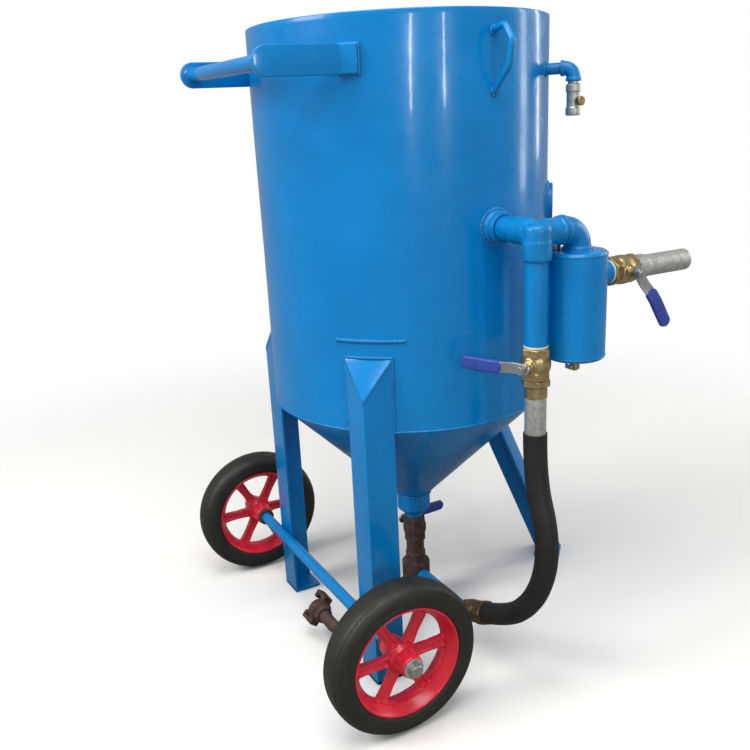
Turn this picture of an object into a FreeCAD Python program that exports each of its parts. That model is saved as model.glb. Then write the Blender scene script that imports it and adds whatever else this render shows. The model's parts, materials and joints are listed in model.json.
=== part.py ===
import FreeCAD, Part
import math
import os
import Sketcher

# Mobile abrasive blasting pot: an open-topped pressure tank with a 45 degree cone, carried on
# two angle-iron legs with a wheel axle and one leaning rear leg.  +Z is up, +X runs along the
# axle to the air-piping side, +Y points away from the handle and the wheels.

SIZES = {
    # place of the tank's axis in the part's own frame
    "axisX": -25.5, "axisY": -20.3,
    # tank
    "shellRadius": 300, "plate": 6, "rimHeight": 1300, "jointHeight": 547,
    "neckRadius": 38.3, "neckWall": 4, "neckBottom": 256.5, "neckTop": 294,
    "headBottom": 1150, "headDepth": 90, "fillerBore": 45, "fillerRadius": 60, "fillerTop": 1174,
    "popupRadius": 50, "popupBase": 1085, "popupStem": 108, "guideTop": 1060, "feedBend": 45, "bossInside": 18,
    # air piping
    "pipeRadius": 21.2, "pipeBore": 17.7, "collarRadius": 26.5, "lineY": 22, "cornerX": 417,
    "cornerZ": 925, "dropTop": 877, "dropBottom": 722, "elbowBend": 32,
    "separatorY": 113, "separatorRadius": 54, "separatorTop": 886, "separatorBottom": 690,
    "keyDrop": 11, "keyRadius": 3, "inletZ": 837, "inletStart": 188, "tailRadius": 20.5, "tailLength": 135,
    # ball valves
    "valveLength": 60, "valveHex": 28, "valveBore": 14, "ballRadius": 21, "stemRadius": 5.5,
    "stemReach": 52, "leverRise": 45, "leverLength": 116, "leverWidth": 20, "leverPlate": 4,
    # hose and what it joins
    "hoseRadius": 22.5, "hoseBore": 16, "hoseTop": 557, "unionDepth": 34,
    # sand valve, mixing chamber and blast outlet
    "mixZ": 72, "mixRadius": 33, "mixHalf": 32, "sandTop": 222, "outletRadius": 13.45,
    "outletBore": 10.7, "couplingBore": 12, "clawY": -272, "clawX": 55, "clawRadius": 25,
    # vent
    "ventAngle": 39, "ventZ": 1199, "ventRadius": 10.65, "ventBore": 8, "ventReach": 352, "ventBend": 18,
    # inspection plug
    "portAngle": 51, "portZ": 946, "portRadius": 37,
    # handle
    "handleHalf": 200, "barPlate": 10, "barDepth": 50, "barBottom": 1200, "handleReach": 390,
    "armRoot": 218,
    "gripRadius": 13.45,
    # legs
    "ridgeRadius": 345, "flange": 65, "angleWall": 6, "ridgeTop": 625, "capRise": 70,
    "rearFoot": 452, "rearLean": 24.2, "footPlate": 6, "scribeGap": 0.1,
    # wheels
    "wheelX": 370.5, "wheelRadius": 155, "tyreHalf": 34, "rimRadius": 100, "lipRadius": 112.5,
    "hubHalf": 46, "hubRadius": 24, "axleRadius": 12.5, "axleHalf": 432, "hubFit": 0.08,
    "pinRadius": 2,
}

doc = FreeCAD.newDocument("BlastPot")
sheet = doc.addObject("Spreadsheet::Sheet", "sizes")
for row, (alias, value) in enumerate(SIZES.items(), 1):
    sheet.set("A%d" % row, alias)
    sheet.set("B%d" % row, str(value))
    sheet.setAlias("B%d" % row, alias)
doc.recompute()

V = FreeCAD.Vector
ALONG_X = FreeCAD.Rotation(V(0, 1, 0), 90)
ALONG_MINUS_X = FreeCAD.Rotation(V(0, 1, 0), -90)
ALONG_Y = FreeCAD.Rotation(V(1, 0, 0), -90)
ALONG_MINUS_Y = FreeCAD.Rotation(V(1, 0, 0), 90)
nodes = []


def size(alias):
    """Value of a sheet cell as a number."""
    return float(sheet.get(alias))


def bind(obj, **expressions):
    """Bind properties of an object to expressions over the sheet's names."""
    for name, text in expressions.items():
        obj.setExpression(name, named(text))
    return obj


def named(text):
    """Put the sheet's name in front of every alias in an expression."""
    word = ""
    out = ""
    for letter in text + " ":
        if letter.isalnum():
            word += letter
            continue
        out += "sizes." + word if word in SIZES else word
        out += letter
        word = ""
    return out.strip()


def place(obj, x="0", y="0", z="0", turn=None):
    """Set an object's place: turned as given, its base bound to three expressions."""
    obj.Placement = FreeCAD.Placement(V(), turn or FreeCAD.Rotation())
    for letter, text in zip("xyz", (x, y, z)):
        obj.setExpression(".Placement.Base." + letter, named(text))
    return obj


def node(obj, label, x="0", y="0", z="0", turn=None):
    """Make an object a finished sub-part, placed from the tank's axis at floor height."""
    place(obj, "axisX + " + x, "axisY + " + y, z, turn)
    obj.Label = label
    nodes.append(obj)
    return obj


def rod(radius, length, x="0", y="0", z="0", turn=None):
    obj = doc.addObject("Part::Cylinder", "rod")
    bind(obj, Radius=radius, Height=length)
    return place(obj, x, y, z, turn)


def hexagon(radius, length, x="0", y="0", z="0", turn=None):
    obj = doc.addObject("Part::Prism", "hexagon")
    obj.Polygon = 6
    bind(obj, Circumradius=radius, Height=length)
    return place(obj, x, y, z, turn)


def block(length, width, height, x="0", y="0", z="0", turn=None):
    obj = doc.addObject("Part::Box", "block")
    bind(obj, Length=length, Width=width, Height=height)
    return place(obj, x, y, z, turn)


def ball(radius, x="0", y="0", z="0"):
    obj = doc.addObject("Part::Sphere", "ball")
    bind(obj, Radius=radius)
    return place(obj, x, y, z)


def fuse(*shapes):
    obj = doc.addObject("Part::MultiFuse", "fuse")
    obj.Shapes = list(shapes)
    return obj


def cut(base, *tools):
    """Base less one or more tools."""
    obj = doc.addObject("Part::Cut", "cut")
    obj.Base = base
    obj.Tool = tools[0] if len(tools) == 1 else fuse(*tools)
    return obj


def group(*shapes):
    obj = doc.addObject("Part::Compound", "group")
    obj.Links = list(shapes)
    return obj


def tube(outer, inner, length, x="0", y="0", z="0", turn=None):
    """Straight pipe standing on its base."""
    return place(cut(rod(outer, length), rod(inner, length)), x, y, z, turn)


def plane_of(body, role):
    for feature in body.Origin.OriginFeatures:
        if feature.Role == role:
            return feature
    raise RuntimeError("no plane " + role)


def outline(body, role, corners):
    """Closed sketch through corners given as pairs of expressions, every corner dimensioned."""
    sketch = body.newObject("Sketcher::SketchObject", "outline")
    sketch.AttachmentSupport = [(plane_of(body, role), "")]
    sketch.MapMode = "FlatFace"
    places = [V(evaluate(across), evaluate(up), 0) for across, up in corners]
    count = len(places)
    for i in range(count):
        sketch.addGeometry(Part.LineSegment(places[i], places[(i + 1) % count]), False)
    for i in range(count):
        sketch.addConstraint(Sketcher.Constraint("Coincident", i, 2, (i + 1) % count, 1))
    for i, (across, up) in enumerate(corners):
        for kind, text, where in (("DistanceX", across, places[i].x), ("DistanceY", up, places[i].y)):
            if abs(where) < 1e-9:
                axis = -2 if kind == "DistanceX" else -1
                sketch.addConstraint(Sketcher.Constraint("PointOnObject", i, 1, axis))
                continue
            number = sketch.addConstraint(Sketcher.Constraint(kind, -1, 1, i, 1, where))
            sketch.setExpression("Constraints[%d]" % number, named(text))
    return sketch


def evaluate(text):
    """Number that an expression over the sheet's names gives now."""
    return float(sheet.evalExpression(named(text)))


def turned(corners):
    """Solid of revolution about local Z from corners given as (radius, height) expressions."""
    body = doc.addObject("PartDesign::Body", "turned")
    sketch = outline(body, "XZ_Plane", corners)
    feature = body.newObject("PartDesign::Revolution", "revolve")
    feature.Profile = sketch
    feature.ReferenceAxis = (sketch, ["V_Axis"])
    feature.Angle = 360
    return body


def padded(corners, length, role="XY_Plane", midplane=False):
    """Straight extrusion of an outline."""
    body = doc.addObject("PartDesign::Body", "padded")
    sketch = outline(body, role, corners)
    feature = body.newObject("PartDesign::Pad", "pad")
    feature.Profile = sketch
    if midplane:
        feature.SideType = "Symmetric"
    feature.setExpression("Length", named(length))
    return body


def quarter_bend(radius, bore, bend, collar, lip="7"):
    """Hollow 90 degree elbow round local Z, with a collar at each end."""
    outer = doc.addObject("Part::Torus", "bend")
    inner = doc.addObject("Part::Torus", "bore")
    bind(outer, Radius1=bend, Radius2=radius)
    bind(inner, Radius1=bend, Radius2=bore)
    outer.Angle3 = inner.Angle3 = 90
    first = rod(collar, lip, bend, "-(%s)" % lip, "0", ALONG_Y)
    last = rod(collar, lip, "0", bend, "0", ALONG_MINUS_X)
    first_bore = rod(bore, "%s + 1" % lip, bend, "-(%s) - 1" % lip, "0", ALONG_Y)
    last_bore = rod(bore, "%s + 1" % lip, "0", bend, "0", ALONG_MINUS_X)
    return cut(fuse(outer, first, last), inner, first_bore, last_bore)


def bent_path(points):
    """Straight runs joined by tangent arcs through hand-placed points, printing each radius."""
    edges = []
    start = points[0]
    for before, corner, after in zip(points, points[1:], points[2:]):
        way_in = (corner - before).normalize()
        way_out = (after - corner).normalize()
        half_turn = way_in.getAngle(way_out) / 2
        shorter = min((corner - before).Length, (after - corner).Length)
        setback = 0.45 * shorter
        print("bend radius %.0f mm" % (setback / math.tan(half_turn)))
        arc_start = corner - way_in * setback
        arc_end = corner + way_out * setback
        inward = (way_out - way_in).normalize()
        radius = setback / math.tan(half_turn)
        middle = corner + inward * (radius / math.cos(half_turn) - radius)
        edges.append(Part.LineSegment(start, arc_start).toShape())
        edges.append(Part.Arc(arc_start, middle, arc_end).toShape())
        start = arc_end
    edges.append(Part.LineSegment(start, points[-1]).toShape())
    return Part.Wire(edges)


def rounded_path(points, radius):
    """Straight runs joined by arcs of one radius."""
    edges = []
    start = points[0]
    for before, corner, after in zip(points, points[1:], points[2:]):
        way_in = (corner - before).normalize()
        way_out = (after - corner).normalize()
        half_turn = way_in.getAngle(way_out) / 2
        setback = radius * math.tan(half_turn)
        arc_start = corner - way_in * setback
        arc_end = corner + way_out * setback
        inward = (way_out - way_in).normalize()
        middle = corner + inward * (radius / math.cos(half_turn) - radius)
        edges.append(Part.LineSegment(start, arc_start).toShape())
        edges.append(Part.Arc(arc_start, middle, arc_end).toShape())
        start = arc_end
    edges.append(Part.LineSegment(start, points[-1]).toShape())
    return Part.Wire(edges)


def swept(path, outer, inner=0):
    """Round bar or pipe along a path, its volume compared with section times length."""
    start = path.Edges[0].firstVertex().Point
    heading = path.Edges[0].tangentAt(path.Edges[0].FirstParameter)
    solids = []
    for radius in (outer, inner):
        if radius:
            ring = Part.Wire([Part.makeCircle(radius, start, heading)])
            solids.append(path.makePipeShell([ring], True, True))
    shape = solids[0].cut(solids[1]) if inner else solids[0]
    wanted = math.pi * (outer ** 2 - inner ** 2) * path.Length
    if abs(shape.Volume - wanted) > 0.01 * wanted:
        raise RuntimeError("pipe volume %.0f, wanted %.0f" % (shape.Volume, wanted))
    return shape


def shaped(shape):
    """Document object for a shape made with Part's own functions."""
    obj = doc.addObject("Part::Feature", "shaped")
    obj.Shape = shape
    return obj


# ---- tank ----

def tank_shell():
    holes = [
        rod("collarRadius + 0.2", "60", "shellRadius - 40", "lineY", "cornerZ", ALONG_X),
        rod("ventRadius + 0.2", "60", "(shellRadius - 40) * cos(ventAngle * 1 deg)",
            "(shellRadius - 40) * sin(ventAngle * 1 deg)", "ventZ", heading("ventAngle")),
        rod("portRadius + 0.2", "60", "(shellRadius - 40) * cos(portAngle * 1 deg)",
            "(shellRadius - 40) * sin(portAngle * 1 deg)", "portZ", heading("portAngle")),
    ]
    wall = tube("shellRadius", "shellRadius - plate", "rimHeight - jointHeight", z="jointHeight")
    node(cut(wall, *holes), "tank_shell")


def heading(angle):
    """Turn that lays local Z flat, pointing outwards at a sheet angle."""
    return FreeCAD.Rotation(V(0, 0, 1), size(angle)).multiply(ALONG_X)


def bottom_cone():
    corners = [
        ("shellRadius", "jointHeight"),
        ("shellRadius - plate * 1.4142", "jointHeight"),
        ("neckRadius + 0.2", "jointHeight - shellRadius + neckRadius + 0.2 + plate * 1.4142"),
        ("neckRadius + 0.2", "jointHeight - shellRadius + neckRadius + 0.2"),
    ]
    node(turned(corners), "bottom_cone")


def outlet_neck():
    neck = tube("neckRadius", "neckRadius - neckWall", "neckTop - neckBottom")
    node(neck, "outlet_neck", z="neckBottom")


def hopper_head():
    """Dished head, hollow side up, that makes the filling hopper inside the rim."""
    edge = size("shellRadius") - size("plate") - 0.3
    depth = size("headDepth")
    sphere = (edge ** 2 + depth ** 2) / (2 * depth)
    bowl = Part.makeSphere(sphere, V(0, 0, sphere), V(0, 0, 1))
    hollow = Part.makeSphere(sphere - size("plate"), V(0, 0, sphere), V(0, 0, 1))
    band = Part.makeCylinder(edge, depth)
    bore = Part.makeCylinder(size("fillerRadius") + 0.1, 4 * depth, V(0, 0, -depth))
    node(shaped(bowl.cut(hollow).common(band).cut(bore)), "hopper_head", z="headBottom")


def filler():
    ring = tube("fillerRadius", "fillerBore", "fillerTop - headBottom + 8")
    node(ring, "filler_ring", z="headBottom - 8")
    node(tube("fillerRadius - 3", "fillerBore - 6", "8"), "filler_seal", z="headBottom - 16")


def popup():
    """Cone valve that air pushes up against the seal, with its guide pipe and air feed."""
    corners = [
        ("0", "popupBase"), ("popupRadius", "popupBase"), ("popupRadius", "popupBase + 6"),
        ("20", "popupBase + 40"), ("0", "popupBase + 44"),
    ]
    stem = rod("pipeBore - 0.08", "popupStem", z="popupBase - popupStem")
    node(fuse(turned(corners), stem), "popup_valve")
    level = size("cornerZ")
    entry = V(size("shellRadius") - size("bossInside"), size("lineY"), level)
    jog = V(size("shellRadius") - 100, size("lineY"), level)
    pipe = rounded_path([entry, jog, V(0, 0, level), V(0, 0, size("guideTop"))], size("feedBend"))
    elbow = swept(pipe, size("pipeRadius"), size("pipeBore"))
    node(shaped(elbow), "popup_pipe")


def lifting_loop():
    """Round-bar eye in an upright plane on the air side, welded to the shell at both ends."""
    outline_points = [
        V(0, 0, 104), V(30, 0, 112), V(52, 0, 84), V(42, 0, 44), V(0, 0, 4),
    ]
    bar = swept(rounded_path(outline_points, 14), 6)
    shell = Part.makeCylinder(size("shellRadius"), 300, V(-size("shellRadius") + 1, -20, -80))
    node(shaped(bar.cut(shell)), "lifting_loop", "shellRadius - 1", "20", "1158")


def inspection_port():
    """Low threaded boss in the shell and the plug that closes it."""
    boss = tube("portRadius", "26.3", "26")
    node(boss, "inspection_boss", "(shellRadius - 16) * cos(portAngle * 1 deg)",
         "(shellRadius - 16) * sin(portAngle * 1 deg)", "portZ", heading("portAngle"))
    socket = block("15", "15", "12", "-7.5", "-7.5", "14")
    node(cut(rod("26", "22"), socket), "inspection_plug", "(shellRadius - 14) * cos(portAngle * 1 deg)",
         "(shellRadius - 14) * sin(portAngle * 1 deg)", "portZ", heading("portAngle"))


# ---- air piping ----

def inlet_boss():
    pad = turned([
        ("pipeRadius + 0.1", "0"), ("collarRadius", "0"), ("collarRadius", "18"), ("32", "19"),
        ("31", "24"), ("28", "27"), ("28", "42"), ("pipeRadius + 0.1", "42"),
    ])
    node(pad, "inlet_boss", "shellRadius - bossInside", "lineY", "cornerZ", ALONG_X)


def corner_fitting():
    """Three-way fitting: to the tank, down, and across to the separator."""
    arms = [
        rod("pipeRadius + 1.8", "cornerX - shellRadius - 24.1", "0", "0", "0", ALONG_MINUS_X),
        rod("collarRadius", "cornerZ - dropTop", "0", "0", "dropTop - cornerZ"),
        rod("pipeRadius + 1.8", "separatorY - lineY - elbowBend - 7", "0", "0", "0", ALONG_Y),
        place(ball("pipeRadius + 4"), turn=FreeCAD.Rotation(V(1, 1, 0), 25)),
    ]
    bores = [
        rod("pipeBore", "cornerX - shellRadius - 20", "0", "0", "0", ALONG_MINUS_X),
        rod("pipeBore", "cornerZ - dropTop + 2", "0", "0", "dropTop - cornerZ - 1"),
        rod("pipeBore", "separatorY - lineY - elbowBend", "0", "0", "0", ALONG_Y),
    ]
    fitting = fuse(*arms)
    for bore in bores:
        fitting = cut(fitting, bore)
    node(fitting, "corner_fitting", "cornerX", "lineY", "cornerZ")


def drop_pipe():
    pipe = tube("pipeRadius", "pipeBore", "dropTop - dropBottom")
    node(pipe, "drop_pipe", "cornerX", "lineY", "dropBottom")


def separator():
    """Moisture separator: elbow in its lid, drain at its lowest point, inlet on its far side."""
    upright = FreeCAD.Rotation(V(0, 1, 0), V(0, 0, 1), V(1, 0, 0), "XYZ")
    elbow = quarter_bend("pipeRadius + 2.5", "pipeBore", "elbowBend", "collarRadius")
    node(elbow, "separator_elbow", "cornerX", "separatorY - elbowBend", "cornerZ - elbowBend", upright)
    vessel = turned([
        ("pipeBore", "separatorTop"), ("separatorRadius - 4", "separatorTop"),
        ("separatorRadius", "separatorTop - 4"), ("separatorRadius", "separatorBottom"),
        ("30", "separatorBottom - 6"), ("6.1", "separatorBottom - 8"), ("6.1", "separatorBottom - 3"),
        ("separatorRadius - 4", "separatorBottom + 4"), ("separatorRadius - 4", "separatorTop - 5"),
        ("pipeBore", "separatorTop - 5"),
    ])
    port = rod("pipeRadius", "inletStart - separatorY - 45", "0", "45", "inletZ", ALONG_Y)
    side_hole = rod("pipeBore", "inletStart - separatorY + 2", "0", "0", "inletZ", ALONG_Y)
    plug_hole = rod("7", "20", "-30", "-26", "separatorTop - 10")
    node(cut(fuse(vessel, port), side_hole, plug_hole), "separator_body", "cornerX", "separatorY")
    plug = fuse(rod("6.9", "10"), hexagon("11", "9", z="10"))
    node(plug, "separator_plug", "cornerX - 30", "separatorY - 26", "separatorTop - 9.5")


def drain():
    """Drain cock under the separator and its wing key."""
    body = fuse(rod("6", "30", z="-20"), hexagon("10", "12", z="-keyDrop - 6"))
    keyhole = rod("keyRadius + 0.08", "40", "0", "-20", "-keyDrop", ALONG_Y)
    node(cut(body, keyhole), "drain_cock", "cornerX", "separatorY", "separatorBottom - 8")
    key = fuse(rod("keyRadius", "17", "0", "4", "0", ALONG_MINUS_Y), block("16", "3", "8", "-8", "-16", "-4"))
    node(key, "drain_wing", "cornerX", "separatorY", "separatorBottom - 8 - keyDrop")


# ---- ball valves: local Z along the pipe, stem along local X ----

def valve_body():
    shell = fuse(
        hexagon("valveHex", "16"),
        hexagon("valveHex", "16", z="valveLength - 16"),
        rod("valveHex - 4", "valveLength - 20", z="10"),
        ball("valveHex - 0.5", z="valveLength / 2"),
        rod("11.5", "36", "0", "0", "valveLength / 2", ALONG_X),
    )
    return cut(
        shell,
        rod("valveBore", "valveLength + 2", z="-1"),
        ball("ballRadius + 0.4", z="valveLength / 2"),
        rod("stemRadius + 0.08", "60", "0", "0", "valveLength / 2", ALONG_X),
    )


def valve_ball():
    """Bored ball with its stem."""
    solid = fuse(ball("ballRadius"), rod("stemRadius", "stemReach", "0", "0", "0", ALONG_X))
    return cut(solid, rod("valveBore", "80", "0", "0", "-40"))


def valve_lever():
    """Joggled strip lever, its long way along local Z and its eye on the stem."""
    side = padded([
        ("leverRise", "-15"), ("leverRise", "22"), ("leverRise + 10", "44"),
        ("leverRise + 14", "leverLength"), ("leverRise + 14 + leverPlate", "leverLength"),
        ("leverRise + 10 + leverPlate", "43"), ("leverRise + leverPlate", "20.5"),
        ("leverRise + leverPlate", "-15"),
    ], "leverWidth", role="XZ_Plane", midplane=True)
    return cut(side, rod("stemRadius + 0.05", "80", "0", "0", "0", ALONG_X))


def lever_grip():
    """Vinyl sleeve round the outer part of the lever."""
    side = padded([
        ("leverRise + 7", "47"), ("leverRise + 11", "leverLength + 4"),
        ("leverRise + 17 + leverPlate", "leverLength + 4"), ("leverRise + 13 + leverPlate", "47"),
    ], "leverWidth + 6", role="XZ_Plane", midplane=True)
    strip = padded([
        ("leverRise + 10", "44"), ("leverRise + 14", "leverLength"),
        ("leverRise + 14 + leverPlate", "leverLength"), ("leverRise + 10 + leverPlate", "43"),
    ], "leverWidth", role="XZ_Plane", midplane=True)
    return cut(side, strip)


def lever_turn(pipe_turn, swing):
    """Turn of a lever that lies at a swing from the pipe, about the stem."""
    return pipe_turn.multiply(FreeCAD.Rotation(V(1, 0, 0), swing))


def ball_valve(prefix, x, y, z, pipe_turn, swing):
    """Valve whose body starts at the given point; swing is the lever's angle from the pipe."""
    local_middle = pipe_turn.multVec(V(0, 0, size("valveLength") / 2))
    middle = ["%s + %.4f" % (text, part) for text, part in zip((x, y, z), local_middle)]
    node(valve_body(), prefix + "_valve_body", x, y, z, pipe_turn)
    node(valve_ball(), prefix + "_ball", *middle, lever_turn(pipe_turn, swing))
    node(valve_lever(), prefix + "_lever", *middle, lever_turn(pipe_turn, swing))
    node(lever_grip(), prefix + "_grip", *middle, lever_turn(pipe_turn, swing))


def inlet_line():
    """Shut-off valve and hose tail on the separator's inlet, its lever hanging down."""
    towards_y = FreeCAD.Rotation(V(1, 0, 0), V(0, 0, -1), V(0, 1, 0), "XYZ")
    ball_valve("inlet", "cornerX", "inletStart", "inletZ", towards_y, -60)
    tail = turned([
        ("pipeBore - 2", "0"), ("pipeRadius + 2", "0"), ("pipeRadius + 2", "24"), ("tailRadius", "27"),
        ("tailRadius", "tailLength - 2"), ("tailRadius - 2", "tailLength"), ("pipeBore - 2", "tailLength"),
    ])
    node(tail, "inlet_tail", "cornerX", "inletStart + valveLength", "inletZ", ALONG_Y)


def hose_line():
    """Shut-off valve, union and tail under the drop pipe."""
    stem_way = V(math.cos(math.radians(-70)), math.sin(math.radians(-70)), 0)
    up = V(0, 0, 1)
    upwards = FreeCAD.Rotation(stem_way, up.cross(stem_way), up, "XYZ")
    ball_valve("hose", "cornerX", "lineY", "dropBottom - valveLength", upwards, 90)
    union = turned([
        ("pipeBore - 2", "0"), ("pipeRadius", "0"), ("pipeRadius", "22"), ("pipeRadius + 7", "24"),
        ("pipeRadius + 7", "unionDepth"), ("pipeBore - 2", "unionDepth"),
    ])
    node(union, "valve_union", "cornerX", "lineY", "dropBottom - valveLength - unionDepth")
    tail_length = "dropBottom - valveLength - unionDepth - hoseTop"
    node(tube("hoseRadius - 2.5", "hoseBore - 2", tail_length), "hose_tail", "cornerX", "lineY", "hoseTop")


# ---- hose, mixing chamber, sand valve and blast outlet ----

# route of the air hose from the tail down and round to the union nut, from the tank's axis
HOSE_ROUTE = [
    (417, 22, 557), (417, 22, 466), (453, 25.7, 361), (448, 25.2, 271),
    (410, 21.3, 190), (344, 14.6, 128), (260, 6, 96),
]


def air_hose():
    points = [V(*point) for point in HOSE_ROUTE]
    path = bent_path(points)
    print("hose length %.0f mm" % path.Length)
    node(shaped(swept(path, size("hoseRadius"), size("hoseBore"))), "air_hose")
    return points[-1], (points[-1] - points[-2]).normalize()


def hose_end(tip, way):
    """Crimped ferrule and union nut at the hose's lower end, then the bent feed pipe."""
    turn = FreeCAD.Rotation(V(0, 0, 1), way)
    nut_at = tip + way * 26
    pipe_at = tip + way * 46
    node(tube("hoseRadius + 1.5", "hoseBore - 2", "26"), "hose_ferrule", *texts(tip), turn)
    node(cut(hexagon("27", "20"), rod("hoseBore - 2", "20")), "union_nut", *texts(nut_at), turn)
    level = size("mixZ")
    reach = (pipe_at.z - level) / -way.z
    corner = pipe_at + way * reach
    last = V(size("mixRadius") - 1, 0, level)
    feed = swept(rounded_path([pipe_at, corner, last], 60), 17, 13)
    node(shaped(feed), "feed_pipe")


def texts(point):
    return ["%.4f" % value for value in point]


def mixing_chamber():
    """Capped upright pot where the sand meets the air, with three ports."""
    spigot = "sandTop - valveLength - mixZ - mixHalf"
    chamber = fuse(rod("mixRadius", "mixHalf * 2", z="-mixHalf"), hexagon("27", "22", z="mixHalf"),
                   rod("21", spigot, z="mixHalf"))
    seat = outlet_way() * (size("mixRadius") - 2)
    bores = [
        rod("mixRadius - 8", "mixHalf * 2 - 14", z="-mixHalf + 7"),
        rod("valveBore", spigot + " + 12", z="mixHalf - 10"),
        rod("13", "60", "0", "0", "0", ALONG_X),
        rod("outletBore", "60", "0", "0", "0", outlet_turn()),
        rod("17.1", "20", "mixRadius - 2", "0", "0", ALONG_X),
        rod("outletRadius + 0.1", "20", *texts(seat), outlet_turn()),
    ]
    node(cut(chamber, *bores), "mixing_chamber", z="mixZ")


OUTLET_CORNER = (170, -272)


def outlet_way():
    return V(OUTLET_CORNER[0], OUTLET_CORNER[1], 0).normalize()


def outlet_turn():
    return FreeCAD.Rotation(V(0, 0, 1), outlet_way())


def blast_outlet():
    """Bent outlet pipe that ends in a two-claw hose coupling facing along -X."""
    corner = V(OUTLET_CORNER[0], OUTLET_CORNER[1], size("mixZ"))
    start = outlet_way() * (size("mixRadius") - 1) + V(0, 0, size("mixZ"))
    end = V(size("clawX"), size("clawY"), size("mixZ"))
    pipe = swept(rounded_path([start, corner, end], 40), size("outletRadius"), size("outletBore"))
    node(shaped(pipe), "outlet_pipe")
    barrel = turned([
        ("couplingBore", "0"), ("outletRadius + 5", "0"), ("outletRadius + 5", "12"), ("clawRadius", "18"),
        ("clawRadius", "36"), ("17", "36"), ("17", "32"), ("couplingBore", "32"),
    ])
    lugs = []
    for side in (0, 180):
        spin = FreeCAD.Rotation(V(0, 0, 1), side + 40)
        root = block("14", "22", "18", "clawRadius - 4", "-11", "18")
        arm = block("9", "22", "42", "clawRadius + 1", "-11", "18")
        hook = block("13", "22", "9", "clawRadius - 8", "-11", "51")
        lugs.append(place(fuse(root, arm, hook), turn=spin))
    node(fuse(barrel, *lugs), "claw_coupling", "clawX", "clawY", "mixZ", ALONG_MINUS_X)
    seal = tube("16.9", "couplingBore + 0.6", "6")
    node(seal, "coupling_seal", "clawX - 32", "clawY", "mixZ", ALONG_MINUS_X)


def sand_valve():
    """Metering valve between the tank's neck and the mixing chamber."""
    reducer = turned([
        ("valveBore", "0"), ("21", "0"), ("21", "12"), ("30", "16"), ("neckRadius", "24"),
        ("neckRadius", "neckBottom - sandTop"), ("valveBore", "neckBottom - sandTop"),
    ])
    node(reducer, "reducer", z="sandTop")
    rear = FreeCAD.Rotation(V(-1, 0, 0), V(0, -1, 0), V(0, 0, 1), "XYZ")
    ball_valve("sand", "0", "0", "sandTop - valveLength", rear, 90)


# ---- vent ----

def vent():
    out = heading("ventAngle")
    start = "(shellRadius - 12)"
    pipe = tube("ventRadius", "ventBore", "ventReach - ventBend - shellRadius + 12 - 6")
    node(pipe, "vent_pipe", start + " * cos(ventAngle * 1 deg)", start + " * sin(ventAngle * 1 deg)",
         "ventZ", out)
    angle = math.radians(size("ventAngle"))
    outward = V(math.cos(angle), math.sin(angle), 0)
    upright = FreeCAD.Rotation(outward, V(0, 0, 1), outward.cross(V(0, 0, 1)), "XYZ")
    elbow = quarter_bend("ventRadius + 2.5", "ventBore", "ventBend", "ventRadius + 4", "6")
    at = ("(ventReach - ventBend) * cos(ventAngle * 1 deg)", "(ventReach - ventBend) * sin(ventAngle * 1 deg)")
    node(elbow, "vent_elbow", at[0], at[1], "ventZ - ventBend", upright)
    top = "ventZ - ventBend - 6 - 62"
    spot = ("ventReach * cos(ventAngle * 1 deg)", "ventReach * sin(ventAngle * 1 deg)")
    body = cut(fuse(rod("14", "62"), rod("10.5", "6", z="56")), rod("7", "64", z="-1"),
               rod("5.08", "60", "-8", "0", "26", ALONG_X))
    node(body, "vent_valve_body", spot[0], spot[1], top)
    plug = fuse(rod("5", "24", "-7", "0", "0", ALONG_X), rod("9", "9", "16", "0", "0", ALONG_X))
    node(plug, "vent_knob", spot[0], spot[1], "ventZ - ventBend - 42")


# ---- handle ----

def handle():
    """Two flat bars, round at the outer end and turned in to the shell, and the push bar."""
    arms = []
    for side in (1, -1):
        reach = "handleReach - armRoot - barDepth / 2"
        straight = block("barPlate", reach, "barDepth", "-barPlate / 2", "-(%s)" % reach, "0")
        nose = rod("barDepth / 2", "barPlate", "-barPlate / 2", "-(%s)" % reach, "barDepth / 2", ALONG_X)
        tab = block("26", "barPlate", "barDepth - 2", "-4", "-8", "1",
                    FreeCAD.Rotation(V(0, 0, 1), side * 42 + (180 if side < 0 else 0)))
        bar = fuse(straight, nose, tab)
        shell = rod("shellRadius", "200", "%s * handleHalf * -1" % side, "armRoot", "-50")
        arms.append(place(cut(bar, shell), "%s * handleHalf" % side, "-armRoot", "barBottom"))
    node(group(*arms), "handle_arms")
    grip = tube("gripRadius", "gripRadius - 2.6", "2 * handleHalf - barPlate")
    node(grip, "handle_bar", "-handleHalf + barPlate / 2", "barDepth / 2 - handleReach",
         "barBottom + barDepth / 2", ALONG_X)


# ---- legs ----

def angle_iron(length):
    """Equal angle with its ridge on local Z and its flanges towards -X."""
    reach = "flange * 0.70711"
    inner = "(flange + angleWall) * 0.70711"
    near = "(flange - angleWall) * 0.70711"
    return padded([
        ("0", "0"), ("-" + reach, reach), ("-" + inner, near), ("-angleWall * 1.41421", "0"),
        ("-" + inner, "-(%s)" % near), ("-" + reach, "-" + reach),
    ], length)


def envelope(length):
    """Full triangular section that the angle encloses."""
    reach = "flange * 0.70711"
    return padded([("0", "0"), ("-" + reach, reach), ("-" + reach, "-" + reach)], length)


def slab(thickness, below):
    """Slanting slab whose top or bottom face runs from the ridge's top up to the tank."""
    normal = V(size("capRise"), 0, size("flange") * 0.70711)
    turn = FreeCAD.Rotation(V(0, 0, 1), normal)
    corner = turn.multVec(V(-200, -200, -below))
    obj = block("400", "400", thickness)
    return place(obj, "%.4f" % corner.x, "%.4f" % corner.y, "ridgeTop + %.4f" % corner.z, turn)


def foot():
    """Square plate that closes the foot of an angle."""
    side = "flange * 0.70711"
    return padded([
        ("0", "0"), ("-" + side, side), ("-2 * flange * 0.70711", "0"), ("-" + side, "-" + side),
    ], "footPlate")


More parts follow.
